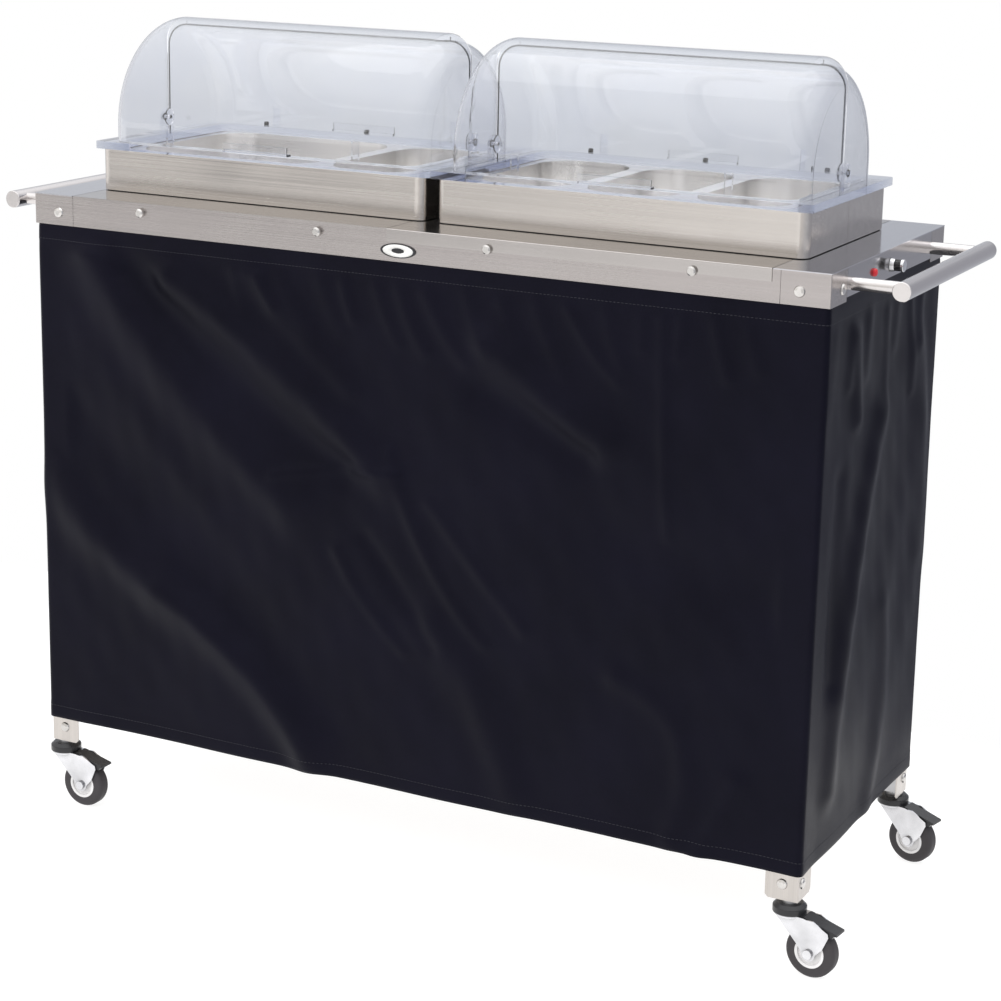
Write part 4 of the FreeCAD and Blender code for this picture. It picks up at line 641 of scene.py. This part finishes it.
def cloth_place(run):
    """Place and outward direction of the flat cloth at a distance along its run."""
    side = 1 if run >= 0 else -1
    face = abs(run)
    first = face - (HALF_X - CLOTH_CORNER)
    second = face - (HALF_X + 2 * HALF_Y - CLOTH_CORNER)
    turned = math.pi / 4 / CLOTH_CORNER
    if first < 0:
        place, out = (face, -HALF_Y), (0, -1)
    elif first < 2 * CLOTH_CORNER:
        angle = first * turned
        out = (math.sin(angle), -math.cos(angle))
        place = (HALF_X - CLOTH_CORNER + CLOTH_CORNER * out[0],
                 -HALF_Y + CLOTH_CORNER + CLOTH_CORNER * out[1])
    elif second < 0:
        place, out = (HALF_X, -HALF_Y + face - HALF_X), (1, 0)
    elif second < 2 * CLOTH_CORNER:
        angle = second * turned
        out = (math.cos(angle), math.sin(angle))
        place = (HALF_X - CLOTH_CORNER + CLOTH_CORNER * out[0], HALF_Y - CLOTH_CORNER + CLOTH_CORNER * out[1])
    else:
        place, out = (HALF_X - (face - HALF_X - 2 * HALF_Y), HALF_Y), (0, 1)
    return Vector((side * place[0], place[1], 0)), Vector((side * out[0], out[1], 0))


def cloth_columns():
    """Distances along the run for the mesh's columns, closer together round the corners."""
    stops = [-CUT_HALF]
    for corner in (-HALF_X - 2 * HALF_Y, -HALF_X, HALF_X, HALF_X + 2 * HALF_Y):
        stops += [corner - CLOTH_CORNER, corner + CLOTH_CORNER]
    stops.append(CUT_HALF)
    columns = []
    for index, (start, end) in enumerate(zip(stops[:-1], stops[1:])):
        count = CORNER_COLUMNS if index % 2 else max(2, round((end - start) / CLOTH_STEP))
        columns += [start + (end - start) * step / count for step in range(count)]
    return columns + [CUT_HALF]


def new_piece(name, mesh, body, material):
    """Links a finished mesh as a piece of the model."""
    for face in mesh.polygons:
        face.use_smooth = True
    piece = bpy.data.objects.new(name, mesh)
    SCENE.collection.objects.link(piece)
    mesh.materials.append(material)
    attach(piece, body)
    return piece


def make_skirt(materials):
    """One hung sheet of cloth round the front and both ends, with hems and slack folds."""
    columns = cloth_columns()
    tall = SKIRT_HIGH.z - SKIRT_LOW.z
    rows = [SKIRT_LOW.z + tall * step / CLOTH_ROWS for step in range(CLOTH_ROWS + 1)]
    run, height = np.meshgrid(columns, rows)
    depth = cloth_depth(run, height)
    outline = [cloth_place(distance) for distance in columns]
    verts = [(*(place + out * depth[row, column]).to_2d(), rows[row])
             for row in range(len(rows)) for column, (place, out) in enumerate(outline)]
    wide = len(columns)
    firsts = [row * wide + column for row in range(CLOTH_ROWS) for column in range(wide - 1)]
    faces = [(first, first + 1, first + wide + 1, first + wide) for first in firsts]
    mesh = bpy.data.meshes.new("skirt_sheet")
    mesh.from_pydata(verts, [], faces)
    piece = new_piece("skirt_sheet", mesh, "table", materials["cloth"])
    thick = piece.modifiers.new("thickness", "SOLIDIFY")
    thick.thickness = CLOTH_THICKNESS
    thick.offset = -1
    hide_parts("skirt")
    return piece


STITCH_PITCH = 0.0062
STITCH_LENGTH = 0.0046
STITCH_RADIUS = 0.00045
STITCH_MARGIN = 0.006
STITCH_LIFT = 0.3
THREAD_SIDES = 6
# Place along a stitch, as a share of its length, and thickness there, as a share of its radius.
STITCH_SHAPE = ((-0.5, 0.25), (-0.3, 1.0), (0.3, 1.0), (0.5, 0.25))


def thread_ring(shape, middle, out, radius):
    """One ring of vertices round a stitch."""
    ring = []
    for step in range(THREAD_SIDES):
        turn = math.tau * step / THREAD_SIDES
        ring.append(shape.verts.new(middle + radius * (out * math.cos(turn) + UP * math.sin(turn))))
    return ring


def make_stitches(materials):
    """Sewn thread along the top and bottom hems, one low bead for each stitch."""
    runs = np.arange(-CUT_HALF + STITCH_MARGIN, CUT_HALF - STITCH_MARGIN, STITCH_PITCH)
    shape = bmesh.new()
    for height in (SKIRT_HIGH.z - HEM_STITCH + TOP_SEAM_INSET, SKIRT_LOW.z + FOOT_STITCH - FOOT_SEAM_INSET):
        rises = cloth_depth(runs, np.full(runs.shape, height))
        for distance, rise in zip(runs, rises):
            place, out = cloth_place(distance)
            ahead = Vector((-out.y, out.x, 0))
            centre = place + out * (rise + STITCH_RADIUS * STITCH_LIFT) + UP * height
            rings = []
            for along, width in STITCH_SHAPE:
                middle = centre + ahead * (along * STITCH_LENGTH)
                rings.append(thread_ring(shape, middle, out, STITCH_RADIUS * width))
            for first, second in zip(rings[:-1], rings[1:]):
                for step in range(THREAD_SIDES):
                    follow = (step + 1) % THREAD_SIDES
                    shape.faces.new((first[step], first[follow], second[follow], second[step]))
            shape.faces.new(rings[0])
            shape.faces.new(list(reversed(rings[-1])))
    bmesh.ops.recalc_face_normals(shape, faces=shape.faces)
    mesh = bpy.data.meshes.new("skirt_stitches")
    shape.to_mesh(mesh)
    shape.free()
    return new_piece("skirt_stitches", mesh, "table", materials["thread"])


# ---- badge ---------------------------------------------------------------------
FIELD_INNER = 0.36
FIELD_OUTER = 0.86
FIELD_RISE = 0.0002
OVAL_STEPS = 72


def ellipse_band(name, centre, half_width, half_height, inner, outer, rise, material):
    """A thin raised oval band that faces -Y."""
    shape = bmesh.new()
    rings = []
    for scale, lift in ((inner, 0), (inner, rise), (outer, rise), (outer, 0)):
        ring = []
        for step in range(OVAL_STEPS):
            turn = math.tau * step / OVAL_STEPS
            ring.append(shape.verts.new((centre.x + half_width * scale * math.cos(turn), centre.y - lift,
                                         centre.z + half_height * scale * math.sin(turn))))
        rings.append(ring)
    for index, ring in enumerate(rings):
        other = rings[(index + 1) % len(rings)]
        for step in range(OVAL_STEPS):
            follow = (step + 1) % OVAL_STEPS
            shape.faces.new((ring[step], ring[follow], other[follow], other[step]))
    bmesh.ops.recalc_face_normals(shape, faces=shape.faces)
    mesh = bpy.data.meshes.new(name)
    shape.to_mesh(mesh)
    shape.free()
    return new_piece(name, mesh, "table", material)


def make_badge(materials):
    """Pale field round a plain dark oval on the badge."""
    low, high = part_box("badge")
    centre = Vector(((low.x + high.x) / 2, low.y, (low.z + high.z) / 2))
    half_width, half_height = (high.x - low.x) / 2, (high.z - low.z) / 2
    ellipse_band("badge_field", centre, half_width, half_height, FIELD_INNER, FIELD_OUTER, FIELD_RISE,
                 materials["badge_mark"])


make_camera()
MATERIALS = make_materials()
make_studio()
paint_nodes(MATERIALS)
skirt_sheet = make_skirt(MATERIALS)
skirt_stitches = make_stitches(MATERIALS)
make_badge(MATERIALS)
